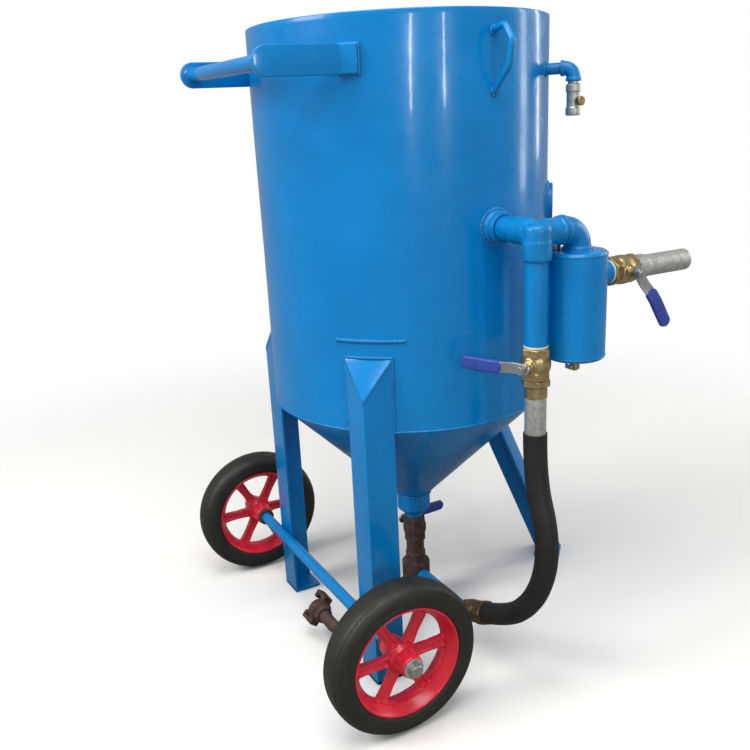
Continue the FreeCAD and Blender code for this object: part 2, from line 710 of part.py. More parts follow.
def front_leg(label, azimuth):
    """Upright leg, its toes and slanted cap scribed to the shell."""
    post = cut(angle_iron("ridgeTop + capRise + 40"), slab("400", 0))
    cap = doc.addObject("Part::Common", "cap")
    cap.Base = envelope("ridgeTop + capRise + 40")
    cap.Tool = slab("6", 6)
    spin = FreeCAD.Rotation(V(0, 0, 1), azimuth)
    shell = rod("shellRadius + scribeGap", "300", "-ridgeRadius", "0", "jointHeight - 6")
    node(cut(fuse(post, cap, foot()), shell), label, "ridgeRadius * cos(%d deg)" % azimuth,
         "ridgeRadius * sin(%d deg)" % azimuth, "0", spin)


def rear_leg():
    """Leaning leg from the cone to the floor, cut to the cone and level at its foot."""
    lean = size("rearLean")
    post = angle_iron("760")
    tilted = place(group(post), "rearFoot + 120 * sin(rearLean * 1 deg)", "0",
                   "-120 * cos(rearLean * 1 deg)", FreeCAD.Rotation(V(0, 1, 0), -lean))
    cone = doc.addObject("Part::Cone", "cone")
    bind(cone, Radius1="neckRadius", Radius2="shellRadius + 300", Height="shellRadius + 300 - neckRadius")
    place(cone, z="jointHeight - shellRadius + neckRadius")
    floor = block("1400", "900", "400", "-450", "-450", "-400")
    trimmed = cut(tilted, cone, floor)
    sole = place(foot(), "rearFoot")
    node(fuse(trimmed, sole), "rear_leg", turn=FreeCAD.Rotation(V(0, 0, 1), 90))


# ---- axle and wheels ----

AXLE_Y = "-(ridgeRadius * 0.70711 + axleRadius)"


def axle():
    holes = [rod("pinRadius + 0.1", "40", "-20", "0", height, ALONG_X)
             for height in ("9", "2 * axleHalf - 9")]
    bar = cut(rod("axleRadius", "2 * axleHalf"), *holes)
    node(bar, "axle", "-axleHalf", AXLE_Y, "wheelRadius", ALONG_X)
    inner_at = "wheelX - hubHalf - 11"
    outer_at = "wheelX + hubHalf + 0.5"
    rings = []
    washers = []
    pins = []
    for side in (1, -1):
        turn = ALONG_X if side > 0 else ALONG_MINUS_X
        rings.append(tube("20", "axleRadius + 0.05", "10.5", "%d * (%s)" % (side, inner_at), "0", "0", turn))
        washers.append(tube("20", "axleRadius + 0.1", "3", "%d * (%s)" % (side, outer_at), "0", "0", turn))
        pins.append(rod("pinRadius", "36", "%d * (axleHalf - 9)" % side, "0", "-18"))
    node(group(*rings), "axle_collars", "0", AXLE_Y, "wheelRadius")
    node(group(*washers), "axle_washers", "0", AXLE_Y, "wheelRadius")
    node(group(*pins), "split_pins", "0", AXLE_Y, "wheelRadius")


def rim():
    """Spoked wheel centre: hub, six spokes and a lipped rim, on local Z."""
    hub = turned([
        ("axleRadius + hubFit", "-hubHalf"), ("hubRadius - 3", "-hubHalf"), ("hubRadius", "-16"),
        ("hubRadius + 8", "-7"), ("hubRadius + 8", "7"), ("hubRadius", "16"), ("hubRadius - 3", "hubHalf"),
        ("axleRadius + hubFit", "hubHalf"),
    ])
    band = turned([
        ("rimRadius - 6", "-31"), ("lipRadius", "-31"), ("lipRadius", "-27"), ("rimRadius", "-26"),
        ("rimRadius", "26"), ("lipRadius", "27"), ("lipRadius", "31"), ("rimRadius - 6", "31"),
    ])
    spokes = []
    for i in range(6):
        spin = FreeCAD.Rotation(V(0, 0, 1), 60 * i)
        spokes.append(place(group(block("rimRadius - 26", "20", "14", "22", "-10", "-7")), turn=spin))
    return fuse(hub, band, *spokes)


def tyre():
    """Solid rubber tyre with rounded shoulders."""
    half = [
        ("rimRadius + 0.05", "25.8"), ("lipRadius + 0.2", "26.8"), ("lipRadius + 1", "31"),
        ("lipRadius + 6", "tyreHalf - 1"), ("lipRadius + 16", "tyreHalf"), ("wheelRadius - 16", "tyreHalf - 2"),
        ("wheelRadius - 7", "tyreHalf - 7"), ("wheelRadius - 1.5", "18"), ("wheelRadius", "10"),
    ]
    other = [(across, "-(%s)" % up) for across, up in reversed(half)]
    return turned(half + other)


def wheel(prefix, side):
    at = "%d * wheelX" % side
    node(rim(), prefix + "_rim", at, AXLE_Y, "wheelRadius", ALONG_X)
    node(tyre(), prefix + "_tyre", at, AXLE_Y, "wheelRadius", ALONG_X)


tank_shell()
bottom_cone()
outlet_neck()
hopper_head()
filler()
popup()
lifting_loop()
inspection_port()
inlet_boss()
corner_fitting()
drop_pipe()
separator()
drain()
inlet_line()
hose_line()
hose_end(*air_hose())
mixing_chamber()
blast_outlet()
sand_valve()
vent()
handle()
front_leg("near_leg", -45)
front_leg("far_leg", -135)
rear_leg()
axle()
wheel("near", 1)
wheel("far", -1)
doc.recompute()

failed = [obj for obj in doc.Objects if "Invalid" in obj.State or "Error" in obj.State]
for obj in failed:
    print("failed:", obj.Name, obj.Label, obj.getStatusString(), [part.Label for part in obj.OutList])
if failed:
    raise RuntimeError("%d objects failed" % len(failed))
os.makedirs("parts", exist_ok=True)
whole = FreeCAD.BoundBox()
for obj in nodes:
    if obj.Shape.isNull() or not obj.Shape.isValid():
        raise RuntimeError(obj.Label + " has no valid shape")
    obj.Shape.exportStep("parts/%s.step" % obj.Label)
    if obj.Label not in ("air_hose", "hose_ferrule", "union_nut"):
        whole.add(obj.Shape.BoundBox)
print("%d sub-parts, box %s" % (len(nodes), whole))
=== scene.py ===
import json

import bmesh
import bpy
import numpy as np
from mathutils import Matrix, Vector


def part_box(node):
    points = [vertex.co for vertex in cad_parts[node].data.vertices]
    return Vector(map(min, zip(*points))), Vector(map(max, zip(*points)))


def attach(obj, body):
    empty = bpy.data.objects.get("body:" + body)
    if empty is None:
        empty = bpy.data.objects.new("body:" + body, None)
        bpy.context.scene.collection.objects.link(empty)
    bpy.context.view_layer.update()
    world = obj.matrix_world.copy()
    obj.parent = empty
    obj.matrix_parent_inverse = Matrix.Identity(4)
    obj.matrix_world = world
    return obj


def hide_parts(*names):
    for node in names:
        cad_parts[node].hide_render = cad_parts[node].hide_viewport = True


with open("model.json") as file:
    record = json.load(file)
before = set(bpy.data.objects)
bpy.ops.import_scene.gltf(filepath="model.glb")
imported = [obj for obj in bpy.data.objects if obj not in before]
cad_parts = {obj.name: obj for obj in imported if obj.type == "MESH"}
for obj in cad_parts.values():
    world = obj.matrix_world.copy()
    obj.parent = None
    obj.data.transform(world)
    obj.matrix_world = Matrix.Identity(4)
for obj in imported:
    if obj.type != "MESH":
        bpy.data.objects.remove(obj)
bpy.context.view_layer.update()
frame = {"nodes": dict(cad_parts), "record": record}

mm = 0.001
shellLow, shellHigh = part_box("tank_shell")
tankAxis = np.array([(shellLow.x + shellHigh.x) / 2, (shellLow.y + shellHigh.y) / 2, 0.0])


def low(node):
    # lowest corner of a CAD node, in mm from the tank's axis at floor height
    return (np.array(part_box(node)[0]) - tankAxis) / mm


def high(node):
    return (np.array(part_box(node)[1]) - tankAxis) / mm


def middle(node):
    return (low(node) + high(node)) / 2


# camera, colours of the view and lights

cameraView = {
    "place": (1.5692, -0.9140, 1.1369),     # metres from the tank's axis
    "ahead": (-0.84471, 0.44534, -0.29688),
    "roll": -0.0493,
    "lens": 40.54,
}
ahead = Vector(cameraView["ahead"]).normalized()
side = ahead.cross(Vector((0, 0, 1))).normalized()
over = side.cross(ahead)
turn = Matrix.Rotation(cameraView["roll"], 3, -ahead)
cameraData = bpy.data.cameras.new("camera")
cameraData.sensor_width = 36
cameraData.lens = cameraView["lens"]
camera = bpy.data.objects.new("camera", cameraData)
bpy.context.scene.collection.objects.link(camera)
axes = Matrix((turn @ side, turn @ over, -ahead)).transposed()
camera.matrix_world = Matrix.Translation(Vector(cameraView["place"]) + Vector(tankAxis)) @ axes.to_4x4()
bpy.context.scene.camera = camera
bpy.context.scene.view_settings.view_transform = "Standard"   # keeps the enamel's blue saturated


def addLight(name, place, aim, size, power):
    data = bpy.data.lights.new(name, "AREA")
    data.shape = "RECTANGLE"
    data.size, data.size_y = size
    data.energy = power
    data.color = (1.0, 0.98, 0.95)
    lamp = bpy.data.objects.new(name, data)
    bpy.context.scene.collection.objects.link(lamp)
    lamp.location = place
    lamp.rotation_mode = "QUATERNION"
    lamp.rotation_quaternion = (Vector(aim) - Vector(place)).to_track_quat("-Z", "Y")


lightValues = {
    # place, aim and size in metres, then watts; the narrow ones draw the streaks on the paint
    "keyLight": ((-0.4, -3.6, 3.0), (0, 0, 0.7), (1.6, 2.0), 105),
    "topLight": ((1.2, -0.8, 3.8), (0.1, -0.1, 0.7), (2.6, 2.6), 85),
    "stripLeft": ((4.05, -1.66, 1.55), (0, 0, 1.1), (0.12, 0.8), 15),
    "stripRight": ((4.35, 0.15, 1.55), (0, 0, 1.1), (0.12, 0.8), 15),
    "sideWindow": ((1.2, 3.6, 1.7), (0, 0, 1.0), (0.5, 2.2), 26),
    "backWindow": ((-0.3, 3.7, 1.7), (0, 0, 1.0), (0.25, 1.8), 14),
}
for name, values in lightValues.items():
    addLight(name, *values)
print("camera and lights placed")


# materials

def linearColour(hexValue):
    # sRGB hex to linear light
    value = np.array([int(hexValue[i:i + 2], 16) for i in (1, 3, 5)]) / 255
    linear = np.where(value <= 0.04045, value / 12.92, ((value + 0.055) / 1.055) ** 2.4)
    return (*linear.tolist(), 1.0)


def addNode(tree, kind, settings, inputs):
    # one node with its settings, and inputs that are values or another node's socket
    node = tree.nodes.new("ShaderNode" + kind)
    for name, value in settings.items():
        setattr(node, name, value)
    for name, value in inputs.items():
        if isinstance(value, bpy.types.NodeSocket):
            tree.links.new(value, node.inputs[name])
        else:
            node.inputs[name].default_value = value
    return node


def makeMaterial(name, look):
    # look: base and second colours mixed by a noise of patch mm, roughness low and high,
    # grain (bump) of grainSize mm and grainDepth mm, specks of a third colour
    material = bpy.data.materials.new(name)
    material.use_nodes = True
    tree = material.node_tree
    tree.nodes.clear()
    place = addNode(tree, "TexCoord", {}, {}).outputs["Object"]
    patch = addNode(tree, "TexNoise", {}, {
        "Vector": place, "Scale": 1 / (look["patch"] * mm), "Detail": 5.0, "Roughness": 0.6})
    spread = addNode(tree, "MapRange", {"clamp": True}, {
        "Value": patch.outputs["Fac"], "From Min": 0.35, "From Max": 0.68})
    colour = addNode(tree, "Mix", {"data_type": "RGBA"}, {
        0: spread.outputs["Result"], 6: linearColour(look["base"]),
        7: linearColour(look["second"])}).outputs[2]
    if "speck" in look:
        dots = addNode(tree, "TexNoise", {}, {
            "Vector": place, "Scale": 1 / (look["speckSize"] * mm), "Detail": 3.0, "Roughness": 0.7})
        where = addNode(tree, "MapRange", {"clamp": True}, {
            "Value": dots.outputs["Fac"], "From Min": look["speckFrom"],
            "From Max": look["speckFrom"] + 0.06, "To Max": look["speckMost"]})
        colour = addNode(tree, "Mix", {"data_type": "RGBA"}, {
            0: where.outputs["Result"], 6: colour, 7: linearColour(look["speck"])}).outputs[2]
    smear = addNode(tree, "TexNoise", {}, {
        "Vector": place, "Scale": 1 / (look["patch"] * 0.35 * mm), "Detail": 4.0})
    rough = addNode(tree, "MapRange", {}, {
        "Value": smear.outputs["Fac"], "From Min": 0.3, "From Max": 0.7,
        "To Min": look["rough"][0], "To Max": look["rough"][1]})
    grain = addNode(tree, "TexNoise", {}, {
        "Vector": place, "Scale": 1 / (look["grainSize"] * mm), "Detail": 2.0})
    bump = addNode(tree, "Bump", {}, {
        "Height": grain.outputs["Fac"], "Strength": 1.0, "Distance": look["grainDepth"] * mm})
    shader = addNode(tree, "BsdfPrincipled", {}, {
        "Base Color": colour, "Roughness": rough.outputs["Result"], "Normal": bump.outputs["Normal"],
        "Metallic": look.get("metallic", 0.0), "Coat Weight": look.get("coat", 0.0),
        "Coat Roughness": look.get("coatRough", 0.1), "Specular IOR Level": look.get("gloss", 0.5)})
    addNode(tree, "OutputMaterial", {}, {"Surface": shader.outputs["BSDF"]})
    return material


# sprayed alkyd enamel over welded steel: glossy, slightly orange-peeled, uneven coats, dust specks
tankEnamel = makeMaterial("sprayedBlueEnamel", {
    "base": "#0086D0", "second": "#007BC2", "patch": 160, "rough": (0.16, 0.30), "grainSize": 5,
    "grainDepth": 0.05, "speck": "#3E93C9", "speckSize": 6, "speckFrom": 0.72, "speckMost": 0.3,
    "coat": 0.22, "coatRough": 0.06, "gloss": 0.3})
# the same enamel where it pooled over rough castings and weld beads
fittingEnamel = makeMaterial("blueEnamelOverCastIron", {
    "base": "#0082C8", "second": "#0072B4", "patch": 30, "rough": (0.28, 0.45), "grainSize": 1.6,
    "grainDepth": 0.10, "speck": "#2C5F86", "speckSize": 4, "speckFrom": 0.68, "speckMost": 0.6,
    "coat": 0.15, "coatRough": 0.12, "gloss": 0.35})
# red enamel on a cast wheel centre: glossy, with road dust
wheelEnamel = makeMaterial("redEnamelOnCastWheel", {
    "base": "#E82B43", "second": "#DA2039", "patch": 40, "rough": (0.2, 0.34), "grainSize": 2.4,
    "grainDepth": 0.05, "speck": "#7C3038", "speckSize": 5, "speckFrom": 0.68, "speckMost": 0.5,
    "coat": 0.3, "coatRough": 0.12})
# moulded solid rubber: nearly black, matt, greyed by dust
tyreRubber = makeMaterial("mouldedSolidRubber", {
    "base": "#26251F", "second": "#1D1C18", "patch": 45, "rough": (0.42, 0.62), "grainSize": 1.1,
    "grainDepth": 0.10, "speck": "#45443B", "speckSize": 5, "speckFrom": 0.62, "speckMost": 0.4})
# rubber hose cured in a cloth wrap: black, matt, with a fine woven print
hoseRubber = makeMaterial("wrapCuredHoseRubber", {
    "base": "#1C1B17", "second": "#151411", "patch": 35, "rough": (0.45, 0.65), "grainSize": 1.4,
    "grainDepth": 0.16, "speck": "#4A483E", "speckSize": 4, "speckFrom": 0.64, "speckMost": 0.45})
sealRubber = makeMaterial("mouldedSealRubber", {
    "base": "#262622", "second": "#1E1E1B", "patch": 15, "rough": (0.55, 0.7), "grainSize": 0.9,
    "grainDepth": 0.05})
# forged brass, tumbled and dulled by handling
valveBrass = makeMaterial("forgedBrass", {
    "base": "#D0BC8C", "second": "#A98F62", "patch": 14, "rough": (0.26, 0.46), "grainSize": 1.0,
    "grainDepth": 0.06, "speck": "#6E5730", "speckSize": 3, "speckFrom": 0.66, "speckMost": 0.6,
    "metallic": 1.0})
# brass that has lain near the floor: brown and dull
tarnishedBrass = makeMaterial("tarnishedBrass", {
    "base": "#8A7352", "second": "#5F4C36", "patch": 12, "rough": (0.38, 0.6), "grainSize": 1.0,
    "grainDepth": 0.08, "speck": "#463627", "speckSize": 4, "speckFrom": 0.62, "speckMost": 0.6,
    "metallic": 0.9})
# hot-dip galvanised pipe: grey, mottled spangle, matt
galvanisedSteel = makeMaterial("hotDipGalvanisedSteel", {
    "base": "#D2D6D1", "second": "#ADB1AC", "patch": 9, "rough": (0.38, 0.58), "grainSize": 1.4,
    "grainDepth": 0.07, "speck": "#73766F", "speckSize": 4, "speckFrom": 0.64, "speckMost": 0.5,
    "metallic": 0.85})
# electroplated zinc on pressed steel: brighter and smoother than galvanising
zincPlate = makeMaterial("zincPlatedSteel", {
    "base": "#C3C7C6", "second": "#A6AAA9", "patch": 12, "rough": (0.26, 0.42), "grainSize": 0.8,
    "grainDepth": 0.03, "metallic": 0.95})
# dipped vinyl sleeve: soft gloss, finger marks
gripVinyl = makeMaterial("dippedVinyl", {
    "base": "#344CA8", "second": "#2B3F96", "patch": 14, "rough": (0.32, 0.5), "grainSize": 1.2,
    "grainDepth": 0.06, "speck": "#5D74BC", "speckSize": 4, "speckFrom": 0.66, "speckMost": 0.5})
# sand-cast iron gone brown with rust
rustyIron = makeMaterial("rustedCastIron", {
    "base": "#5A4A44", "second": "#3A2C28", "patch": 16, "rough": (0.7, 0.9), "grainSize": 1.5,
    "grainDepth": 0.35, "speck": "#8A5A3C", "speckSize": 6, "speckFrom": 0.58, "speckMost": 0.7,
    "metallic": 0.25})
threadTape = makeMaterial("whiteThreadTape", {
    "base": "#E9E7DE", "second": "#D6D3C6", "patch": 8, "rough": (0.55, 0.7), "grainSize": 1.0,
    "grainDepth": 0.12})
platedBall = makeMaterial("chromedBrassBall", {
    "base": "#D5D7D8", "second": "#C9CBCC", "patch": 20, "rough": (0.08, 0.14), "grainSize": 1.0,
    "grainDepth": 0.01, "metallic": 1.0})
# matt pale floor that fades into the backdrop between two distances and bounces little light
floorValues = {"fadeFrom": 1.2, "fadeTo": 2.6, "seen": "#FAFAF8", "bounce": "#8C8C8A",
               "half": 9, "drop": 0.5}
paleFloor = bpy.data.materials.new("mattPaleFloor")
paleFloor.use_nodes = True
floorTree = paleFloor.node_tree
floorTree.nodes.clear()
floorPlace = addNode(floorTree, "TexCoord", {}, {}).outputs["Object"]
distance = addNode(floorTree, "VectorMath", {"operation": "LENGTH"}, {0: floorPlace}).outputs["Value"]
fade = addNode(floorTree, "MapRange", {"interpolation_type": "SMOOTHSTEP"}, {
    "Value": distance, "From Min": floorValues["fadeFrom"],
    "From Max": floorValues["fadeTo"]}).outputs["Result"]
floorSeen = addNode(floorTree, "LightPath", {}, {}).outputs["Is Camera Ray"]
floorTone = addNode(floorTree, "Mix", {"data_type": "RGBA"}, {
    0: floorSeen, 6: linearColour(floorValues["bounce"]), 7: linearColour(floorValues["seen"])}).outputs[2]
matt = addNode(floorTree, "BsdfDiffuse", {}, {"Color": floorTone})
clear = addNode(floorTree, "BsdfTransparent", {}, {})
blend = addNode(floorTree, "MixShader", {}, {0: fade, 1: matt.outputs["BSDF"], 2: clear.outputs["BSDF"]})
addNode(floorTree, "OutputMaterial", {}, {"Surface": blend.outputs["Shader"]})
print("materials made")


# surfaces: each shape is (points in mm, faces)

def unit(way):
    way = np.asarray(way, float)
    return way / np.linalg.norm(way, axis=-1, keepdims=True)


def gridFaces(rows, columns, wrapRows=False, wrapColumns=True):
    # point (i, j) is joined to its neighbours in i and j, round the end where it wraps
    index = np.arange(rows * columns).reshape(rows, columns)
    if wrapRows:
        index = np.vstack([index, index[:1]])
    if wrapColumns:
        index = np.hstack([index, index[:, :1]])
    corners = (index[:-1, :-1], index[:-1, 1:], index[1:, 1:], index[1:, :-1])
    return np.stack(corners, -1).reshape(-1, 4).tolist()


def softened(corners, radius, closed=False, steps=5):
    # each corner P becomes the curve (1-t)^2 A + 2t(1-t) P + t^2 B, from A to B a setback away
    corners = np.asarray(corners, float)
    before, after = np.roll(corners, 1, 0) - corners, np.roll(corners, -1, 0) - corners
    lengthIn, lengthOut = np.linalg.norm(before, axis=1), np.linalg.norm(after, axis=1)
    setback = np.minimum(radius, 0.45 * np.minimum(lengthIn, lengthOut))[:, None]
    start = (corners + before / lengthIn[:, None] * setback)[:, None]
    end = (corners + after / lengthOut[:, None] * setback)[:, None]
    t = np.linspace(0, 1, steps)[None, :, None]
    curves = start * (1 - t) ** 2 + 2 * t * (1 - t) * corners[:, None] + end * t ** 2
    if closed:
        return curves.reshape(-1, corners.shape[1])
    return np.vstack([corners[:1], curves[1:-1].reshape(-1, corners.shape[1]), corners[-1:]])


def turned(profile, soft=1.0, closed=False, flats=None, segments=96, sides=6):
    # (radius, height) turned about Z; where flats is given, radius r is held inside a polygon of
    # that half width: r' = (r^-p + (flats / max|cos|)^-p)^(-1/p), with soft corners
    profile = softened(profile, soft, closed)
    angle = np.linspace(0, 2 * np.pi, segments, endpoint=False)
    radius = np.repeat(np.maximum(profile[:, :1], 1e-6), segments, 1)
    if flats is not None:
        faceAngles = np.arange(sides) * 2 * np.pi / sides
        most = (np.clip(np.cos(angle[:, None] - faceAngles), 0, 1) ** 60).sum(1) ** (1 / 60)
        radius = (radius ** -40.0 + (flats / most) ** -40.0) ** (-1 / 40)
    height = np.repeat(profile[:, 1:], segments, 1)
    points = np.stack([radius * np.cos(angle), radius * np.sin(angle), height], -1)
    return points.reshape(-1, 3), gridFaces(len(profile), segments, closed)


def pathFrames(path, up, loop=False):
    # unit tangent by central differences, side = tangent x up, over = side x tangent
    if loop:
        along = unit(np.roll(path, -1, 0) - np.roll(path, 1, 0))
    else:
        along = unit(np.gradient(path, axis=0))
    across = unit(np.cross(along, np.broadcast_to(up, path.shape)))
    return across, np.cross(across, along)


def carried(path, section, up, loop=False, scale=None, wide=None):
    # section (a, b) carried along a path: point = path + a * across + b * over; ends shrink shut
    path = np.asarray(path, float)
    across, over = pathFrames(path, up, loop)
    scale = np.ones(len(path)) if scale is None else np.asarray(scale, float)
    wide = scale if wide is None else scale * wide
    if not loop:
        path = np.vstack([path[:1], path, path[-1:]])
        across = np.vstack([across[:1], across, across[-1:]])
        over = np.vstack([over[:1], over, over[-1:]])
        scale = np.concatenate([[0], scale, [0]])
        wide = np.concatenate([[0], wide, [0]])
    points = (path[:, None] + (section[:, 0] * wide[:, None])[..., None] * across[:, None]
              + (section[:, 1] * scale[:, None])[..., None] * over[:, None])
    return points.reshape(-1, 3), gridFaces(len(path), len(section), loop)


def ring(radius, count=24):
    angle = np.linspace(0, 2 * np.pi, count, endpoint=False)
    return np.stack([radius * np.cos(angle), radius * np.sin(angle)], 1)


def boxSection(width, height, soft=1.0):
    return softened(np.array([(-1, -1), (1, -1), (1, 1), (-1, 1)]) * (width / 2, height / 2), soft, True, 4)


def plate(outline, bottom, top):
    # flat outline carried straight from bottom to top along Z, closed by one face at each end
    count = len(outline)
    points = np.vstack([np.column_stack([outline, np.full(count, z)]) for z in (bottom, top)])
    faces = gridFaces(2, count)
    faces.append(list(range(count))[::-1])
    faces.append(list(range(count, 2 * count)))
    return points, faces


def placed(shape, at, zWay=(0, 0, 1), xWay=(1, 0, 0)):
    # local x, y, z laid along xWay (made square to zWay), zWay x xWay and zWay
    points, faces = shape
    zWay = unit(zWay)
    if abs(np.dot(unit(xWay), zWay)) > 0.99:
        xWay = (0, 1, 0)
    xWay = unit(np.asarray(xWay, float) - np.dot(xWay, zWay) * zWay)
    return points @ np.array([xWay, np.cross(zWay, xWay), zWay]) + np.asarray(at, float), faces


def spun(shape, degrees):
    # turned about local Z
    angle = np.radians(degrees)
    matrix = np.array([(np.cos(angle), np.sin(angle), 0), (-np.sin(angle), np.cos(angle), 0), (0, 0, 1)])
    return shape[0] @ matrix, shape[1]


def arcPath(corners, radius, gap=4.0):
    # straight runs joined by true arcs of one radius, with points about every gap mm
    corners = np.asarray(corners, float)
    parts = [corners[:1]]
    for before, corner, after in zip(corners, corners[1:], corners[2:]):
        wayIn, wayOut = unit(corner - before), unit(after - corner)
        half = np.arccos(np.clip(np.dot(wayIn, wayOut), -1, 1)) / 2
        centre = corner + unit(wayOut - wayIn) * radius / np.cos(half)
        start = corner - wayIn * radius * np.tan(half)
        count = max(4, int(2 * half * radius / gap))
        angle = np.linspace(0, 2 * half, count)[:, None]
        parts.append(centre + (start - centre) * np.cos(angle) + wayIn * radius * np.sin(angle))
    parts.append(corners[-1:])
    rough = np.vstack(parts)
    lengths = np.concatenate([[0], np.cumsum(np.linalg.norm(np.diff(rough, axis=0), axis=1))])
    even = np.linspace(0, lengths[-1], max(8, int(lengths[-1] / gap)))
    return np.stack([np.interp(even, lengths, rough[:, axis]) for axis in range(3)], 1)


def addPiece(name, shapes, material, body="root", standsFor=(), bevel=0.0, cast=0.0, sharp=38):
    # shapes joined into one object; cast gives a voxel in mm for a fused, softened casting
    points = np.vstack([shape[0] for shape in shapes])
    faces, start = [], 0
    for shape in shapes:
        faces += [[corner + start for corner in face] for face in shape[1]]
        start += len(shape[0])
    mesh = bpy.data.meshes.new(name)
    mesh.from_pydata((points * mm + tankAxis).tolist(), [], faces)
    tidy = bmesh.new()
    tidy.from_mesh(mesh)
    bmesh.ops.remove_doubles(tidy, verts=tidy.verts, dist=2e-6)
    bmesh.ops.dissolve_degenerate(tidy, dist=1e-6, edges=tidy.edges)
    bmesh.ops.recalc_face_normals(tidy, faces=tidy.faces)
    tidy.to_mesh(mesh)
    tidy.free()
    piece = bpy.data.objects.new(name, mesh)
    bpy.context.scene.collection.objects.link(piece)
    if bevel:
        edge = piece.modifiers.new("edge", "BEVEL")
        edge.width, edge.segments, edge.limit_method = bevel * mm, 3, "ANGLE"
        edge.angle_limit = np.radians(40)
    if cast:
        skin = piece.modifiers.new("skin", "REMESH")
        skin.mode, skin.voxel_size = "VOXEL", cast * mm
        ease = piece.modifiers.new("ease", "SMOOTH")
        ease.factor, ease.iterations = 0.5, 5
    if bevel or cast:
        solved = bpy.data.meshes.new_from_object(piece.evaluated_get(bpy.context.evaluated_depsgraph_get()))
        piece.modifiers.clear()
        piece.data = solved
    piece.data.materials.clear()
    piece.data.materials.append(material)
    piece.data.shade_smooth()
    if not cast:
        piece.data.set_sharp_from_angle(angle=np.radians(sharp))
    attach(piece, body)
    if standsFor:
        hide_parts(*standsFor)
    return piece


# air hose, the one free cord

airHoseValues = {
    # route from the tail at the top to the ferrule at the cone's outlet
    "route": [(417, 22, 557), (417, 22, 466), (453, 25.7, 361), (448, 25.2, 271),
              (410, 21.3, 190), (344, 14.6, 128), (260, 6, 96)],
    "diameter": 45, "length": 558,
}
hoseRoute = np.array(airHoseValues["route"], float) * mm + tankAxis
hoseCurve = bpy.data.curves.new("airHose", "CURVE")
hoseCurve.dimensions = "3D"
hoseSpline = hoseCurve.splines.new("NURBS")
hoseSpline.points.add(len(hoseRoute) - 1)
for point, place in zip(hoseSpline.points, hoseRoute):
    point.co = (*place, 1.0)
hoseSpline.order_u = 3
hoseSpline.use_endpoint_u = True
hoseSpline.resolution_u = 24
hoseCurve.bevel_depth = airHoseValues["diameter"] / 2 * mm
hoseCurve.bevel_resolution = 10
hoseCurve.use_fill_caps = True
airHose = bpy.data.objects.new("airHose", hoseCurve)
bpy.context.scene.collection.objects.link(airHose)
hoseCurve.materials.append(hoseRubber)
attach(airHose, "root")
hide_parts("air_hose")

hoseEndWay = unit(hoseRoute[-1] - hoseRoute[-2])
hoseEnd = np.array(airHoseValues["route"][-1], float)
ferruleValues = {"radius": 24, "length": 26, "bore": 14, "crimps": (5, 12, 19), "crimpDepth": 1.4,
                 "collarFlats": 24.3, "collarLength": 22}
# a hexagon collar grips the hose, then the crimped part runs on to the nut
collarEnd = -ferruleValues["collarLength"]
ferruleProfile = [(ferruleValues["bore"], 0), (22.3, 0), (22.3, collarEnd), (25.5, collarEnd),
                  (27.6, collarEnd + 2.4), (27.6, -3.4), (25.2, -1), (ferruleValues["radius"] - 1, 0)]
for height in ferruleValues["crimps"]:
    ferruleProfile += [(ferruleValues["radius"], height - 2.5),
                       (ferruleValues["radius"] - ferruleValues["crimpDepth"], height),
                       (ferruleValues["radius"], height + 2.5)]
ferruleProfile += [(ferruleValues["radius"] - 1, ferruleValues["length"]),
                   (ferruleValues["bore"], ferruleValues["length"])]
ferrule = turned(ferruleProfile, 0.8, True, ferruleValues["collarFlats"])
hoseFerrule = addPiece("hoseFerrule", [placed(ferrule, hoseEnd, hoseEndWay)], tarnishedBrass,
                       standsFor=["hose_ferrule"])
unionNutValues = {"corner": 27, "length": 20, "bore": 14}
flatHalf = unionNutValues["corner"] * np.cos(np.pi / 6)
nutBore, nutLength = unionNutValues["bore"], unionNutValues["length"]
nutProfile = [(nutBore, 0), (24, 0), (27.4, 2.4), (27.4, nutLength - 2.4), (24, nutLength),
              (nutBore, nutLength)]
nutPlace = hoseEnd + hoseEndWay * ferruleValues["length"]
unionNut = turned(nutProfile, 0.8, True, flatHalf)
hoseUnionNut = addPiece("hoseUnionNut", [placed(unionNut, nutPlace, hoseEndWay)], tarnishedBrass,
                        standsFor=["union_nut"])
print("air hose laid")


# tank: shell, cone, neck, hopper

tankValues = {
    "radius": (high("tank_shell")[0] - low("tank_shell")[0]) / 2, "wall": 6,
    "bottom": low("tank_shell")[2], "rim": high("tank_shell")[2], "wave": 0.7, "dent": 0.5,
}


def tube(inner, outer, foot, head, soft, **more):
    # plain ring or pipe along z, from foot to head
    return turned([(inner, foot), (outer, foot), (outer, head), (inner, head)], soft, True, **more)


def tankWall():
    # wall profile turned about Z, drawn in by a small wave: w = a (1 + cos 5t cos(z/90)) / 2
    # plus a shallower one near the rim, as rolled plate has
    rim, bottom, outer = tankValues["rim"], tankValues["bottom"], tankValues["radius"]
    inner = outer - tankValues["wall"]
    heights = np.linspace(bottom, rim - 2, 90)
    lip = np.array([(outer - 0.5, rim - 0.6), (outer - 1.6, rim), (inner + 1.6, rim),
                    (inner + 0.5, rim - 0.6)])
    profile = np.vstack([np.column_stack([np.full(90, outer), heights]), lip,
                         np.column_stack([np.full(40, inner), np.linspace(rim - 2, bottom, 40)])])
    angle = np.linspace(0, 2 * np.pi, 288, endpoint=False)
    radius, height = np.repeat(profile[:, :1], 288, 1), np.repeat(profile[:, 1:], 288, 1)
    wave = tankValues["wave"] * (1 + np.cos(5 * angle + 0.6) * np.cos(height / 90)) / 2
    nearRim = np.exp(-(rim - height) / 120) * tankValues["dent"] * (1 + np.sin(11 * angle + 1.3))
    radius = radius - wave - nearRim
    points = np.stack([radius * np.cos(angle), radius * np.sin(angle), height], -1)
    return points.reshape(-1, 3), gridFaces(len(profile), 288, True)


